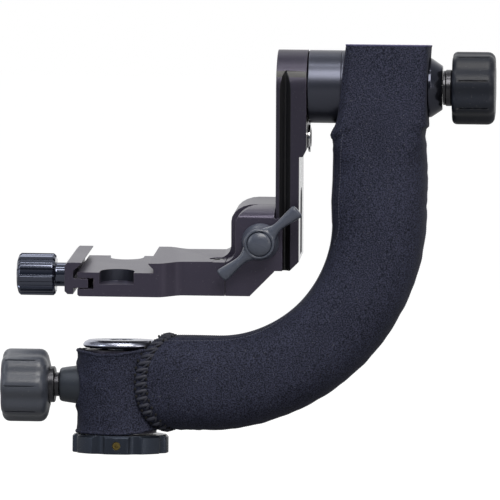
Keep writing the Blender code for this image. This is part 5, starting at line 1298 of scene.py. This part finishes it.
def dress_frame():
    """A finish from its material slot for every CAD node that still shows."""
    for row in frame["record"]["subparts"]:
        node, slot = frame["nodes"][row["node"]], row["material_slot"]
        node.data.materials.clear()
        node.data.materials.append(finish_of(SLOT_FINISH.get(slot, slot)))


# Settings


def colour_setting(name, description, default):
    return FloatVectorProperty(
        name=name, description=description, default=default, subtype="COLOR", size=3, min=0.0, max=1.0
    )


def number(name, description, default, **limits):
    return FloatProperty(name=name, description=description, default=default, **limits)


class HeadFinish(bpy.types.PropertyGroup):
    """Colours and wear of the head's finishes."""

    neoprene: colour_setting("Neoprene", "Cloth of the arm's cover", srgb(43, 45, 59))
    hem: colour_setting("Hem tape", "Binding at the top of the cover", srgb(82, 80, 118))
    anodised: colour_setting("Black anodised", "Swing arm", srgb(54, 51, 65))
    platform: colour_setting("Platform", "Lens platform and its jaws", srgb(68, 64, 80))
    boss: colour_setting("Grey anodised", "Boss of the pan lock", srgb(58, 63, 72))
    pan_grip: colour_setting("Pan grip", "Rubber of the pan lock's grip", srgb(66, 70, 80))
    tilt_grip: colour_setting("Tilt grip", "Rubber of the tilt lock's grip", srgb(27, 31, 41))
    plastic: colour_setting("Winged knob", "Plastic of the height knob", srgb(74, 79, 92))
    base: colour_setting("Base anodising", "Base under the pan housing", srgb(58, 64, 76))
    clamp_gloss: colour_setting("Clamp knob gloss", "Clamp knob", srgb(88, 92, 106))
    polished: colour_setting("Polished black", "Drum and cone of the tilt joint", srgb(62, 64, 74))
    # Lighter edges: partly rubbed wear, partly painted highlight.
    wear_and_highlight: number("Edge wear", "How much the edges are rubbed", 0.4, min=0.0, max=1.0, subtype="FACTOR")
    dust: number("Dust", "Handling marks and specks", 0.4, min=0.0, max=1.0, subtype="FACTOR")


class HeadStage(bpy.types.PropertyGroup):
    """Camera, lamps and floor."""

    azimuth: number("Azimuth", "How far the camera stands to the right", 4.0 * DEG, unit="ROTATION")
    pitch: number("Pitch", "How far the camera looks down", 1.75 * DEG, unit="ROTATION")
    roll: number("Roll", "How far the camera leans", 0.62 * DEG, unit="ROTATION")
    distance: number("Distance", "From the camera to the object", 3.9, unit="LENGTH", min=0.5)
    lens: number("Lens", "Focal length", 468.0, unit="CAMERA", min=20.0)
    light: number("Light", "Level of the lamps", 1.0, min=0.0, max=4.0)
    fill: number("Fill", "Level of the light from all round", 0.125, min=0.0, max=1.0)
    floor: colour_setting("Floor", "Colour of the floor", (0.3, 0.3, 0.3))
    floor_size: number("Floor size", "Side of the floor", 300.0, unit="LENGTH")
    floor_glow: number("Floor glow", "How far the floor is lifted to white for the camera", 0.985,
                       min=0.0, max=1.0, subtype="FACTOR")


# Operators and panel


class PieceOperator:
    """One group of pieces."""

    bl_options = {"REGISTER", "UNDO"}

    def execute(self, context):
        self.make()
        return {"FINISHED"}


class GIMBAL_OT_stage(PieceOperator, bpy.types.Operator):
    """Add the camera, the lamps, the studio world and the floor"""

    bl_idname = "gimbal.stage"
    bl_label = "Stage"
    make = staticmethod(studio)


class GIMBAL_OT_frame(PieceOperator, bpy.types.Operator):
    """Give every solid of the frame its finish"""

    bl_idname = "gimbal.frame_finishes"
    bl_label = "Frame finishes"
    make = staticmethod(dress_frame)


class GIMBAL_OT_base(PieceOperator, bpy.types.Operator):
    """Make the lobed base and the polished bearing cap"""

    bl_idname = "gimbal.base"
    bl_label = "Base and bearing cap"
    make = staticmethod(base_and_cap)


class GIMBAL_OT_pan_lock(PieceOperator, bpy.types.Operator):
    """Make the boss, collar and grip of the pan lock"""

    bl_idname = "gimbal.pan_lock"
    bl_label = "Pan lock"
    make = staticmethod(pan_lock)


class GIMBAL_OT_tilt_joint(PieceOperator, bpy.types.Operator):
    """Make the tilt drum, the cone flange and the tilt lock's collar and grip"""

    bl_idname = "gimbal.tilt_joint"
    bl_label = "Tilt joint"
    make = staticmethod(tilt_joint)


class GIMBAL_OT_swing_arm(PieceOperator, bpy.types.Operator):
    """Make the swing arm"""

    bl_idname = "gimbal.swing_arm"
    bl_label = "Swing arm"
    make = staticmethod(swinging_arm)


class GIMBAL_OT_platform(PieceOperator, bpy.types.Operator):
    """Make the lens platform, the block's jaw and the clamp's jaw"""

    bl_idname = "gimbal.platform"
    bl_label = "Lens platform"
    make = staticmethod(lens_platform)


class GIMBAL_OT_clamp_knob(PieceOperator, bpy.types.Operator):
    """Make the fluted clamp knob"""

    bl_idname = "gimbal.clamp_knob"
    bl_label = "Clamp knob"
    make = staticmethod(clamp_handwheel)


class GIMBAL_OT_sleeve(PieceOperator, bpy.types.Operator):
    """Make the neoprene cover with its seams"""

    bl_idname = "gimbal.sleeve"
    bl_label = "Neoprene cover"
    make = staticmethod(padded_cover)


OPERATORS = (
    GIMBAL_OT_stage,
    GIMBAL_OT_frame,
    GIMBAL_OT_base,
    GIMBAL_OT_pan_lock,
    GIMBAL_OT_tilt_joint,
    GIMBAL_OT_swing_arm,
    GIMBAL_OT_platform,
    GIMBAL_OT_clamp_knob,
    GIMBAL_OT_sleeve,
)


class GIMBAL_PT_head(bpy.types.Panel):
    """Settings and pieces of the gimbal tripod head"""

    bl_idname = "GIMBAL_PT_head"
    bl_label = "Gimbal tripod head"
    bl_space_type = "VIEW_3D"
    bl_region_type = "UI"
    bl_category = "Gimbal head"

    def draw(self, context):
        layout = self.layout
        for settings in (context.scene.gimbal_finish, context.scene.gimbal_stage):
            box = layout.box()
            for key in settings.bl_rna.properties.keys():
                if key not in {"rna_type", "name"}:
                    box.prop(settings, key)
        for operator in OPERATORS:
            layout.operator(operator.bl_idname)


CLASSES = (HeadFinish, HeadStage, *OPERATORS, GIMBAL_PT_head)


def register():
    for each in CLASSES:
        bpy.utils.register_class(each)
    bpy.types.Scene.gimbal_finish = PointerProperty(type=HeadFinish)
    bpy.types.Scene.gimbal_stage = PointerProperty(type=HeadStage)


def unregister():
    del bpy.types.Scene.gimbal_stage
    del bpy.types.Scene.gimbal_finish
    for each in reversed(CLASSES):
        bpy.utils.unregister_class(each)


def main():
    register()
    for operator in OPERATORS:
        group, name = operator.bl_idname.split(".")
        getattr(getattr(bpy.ops, group), name)()


if __name__ == "__main__":
    main()
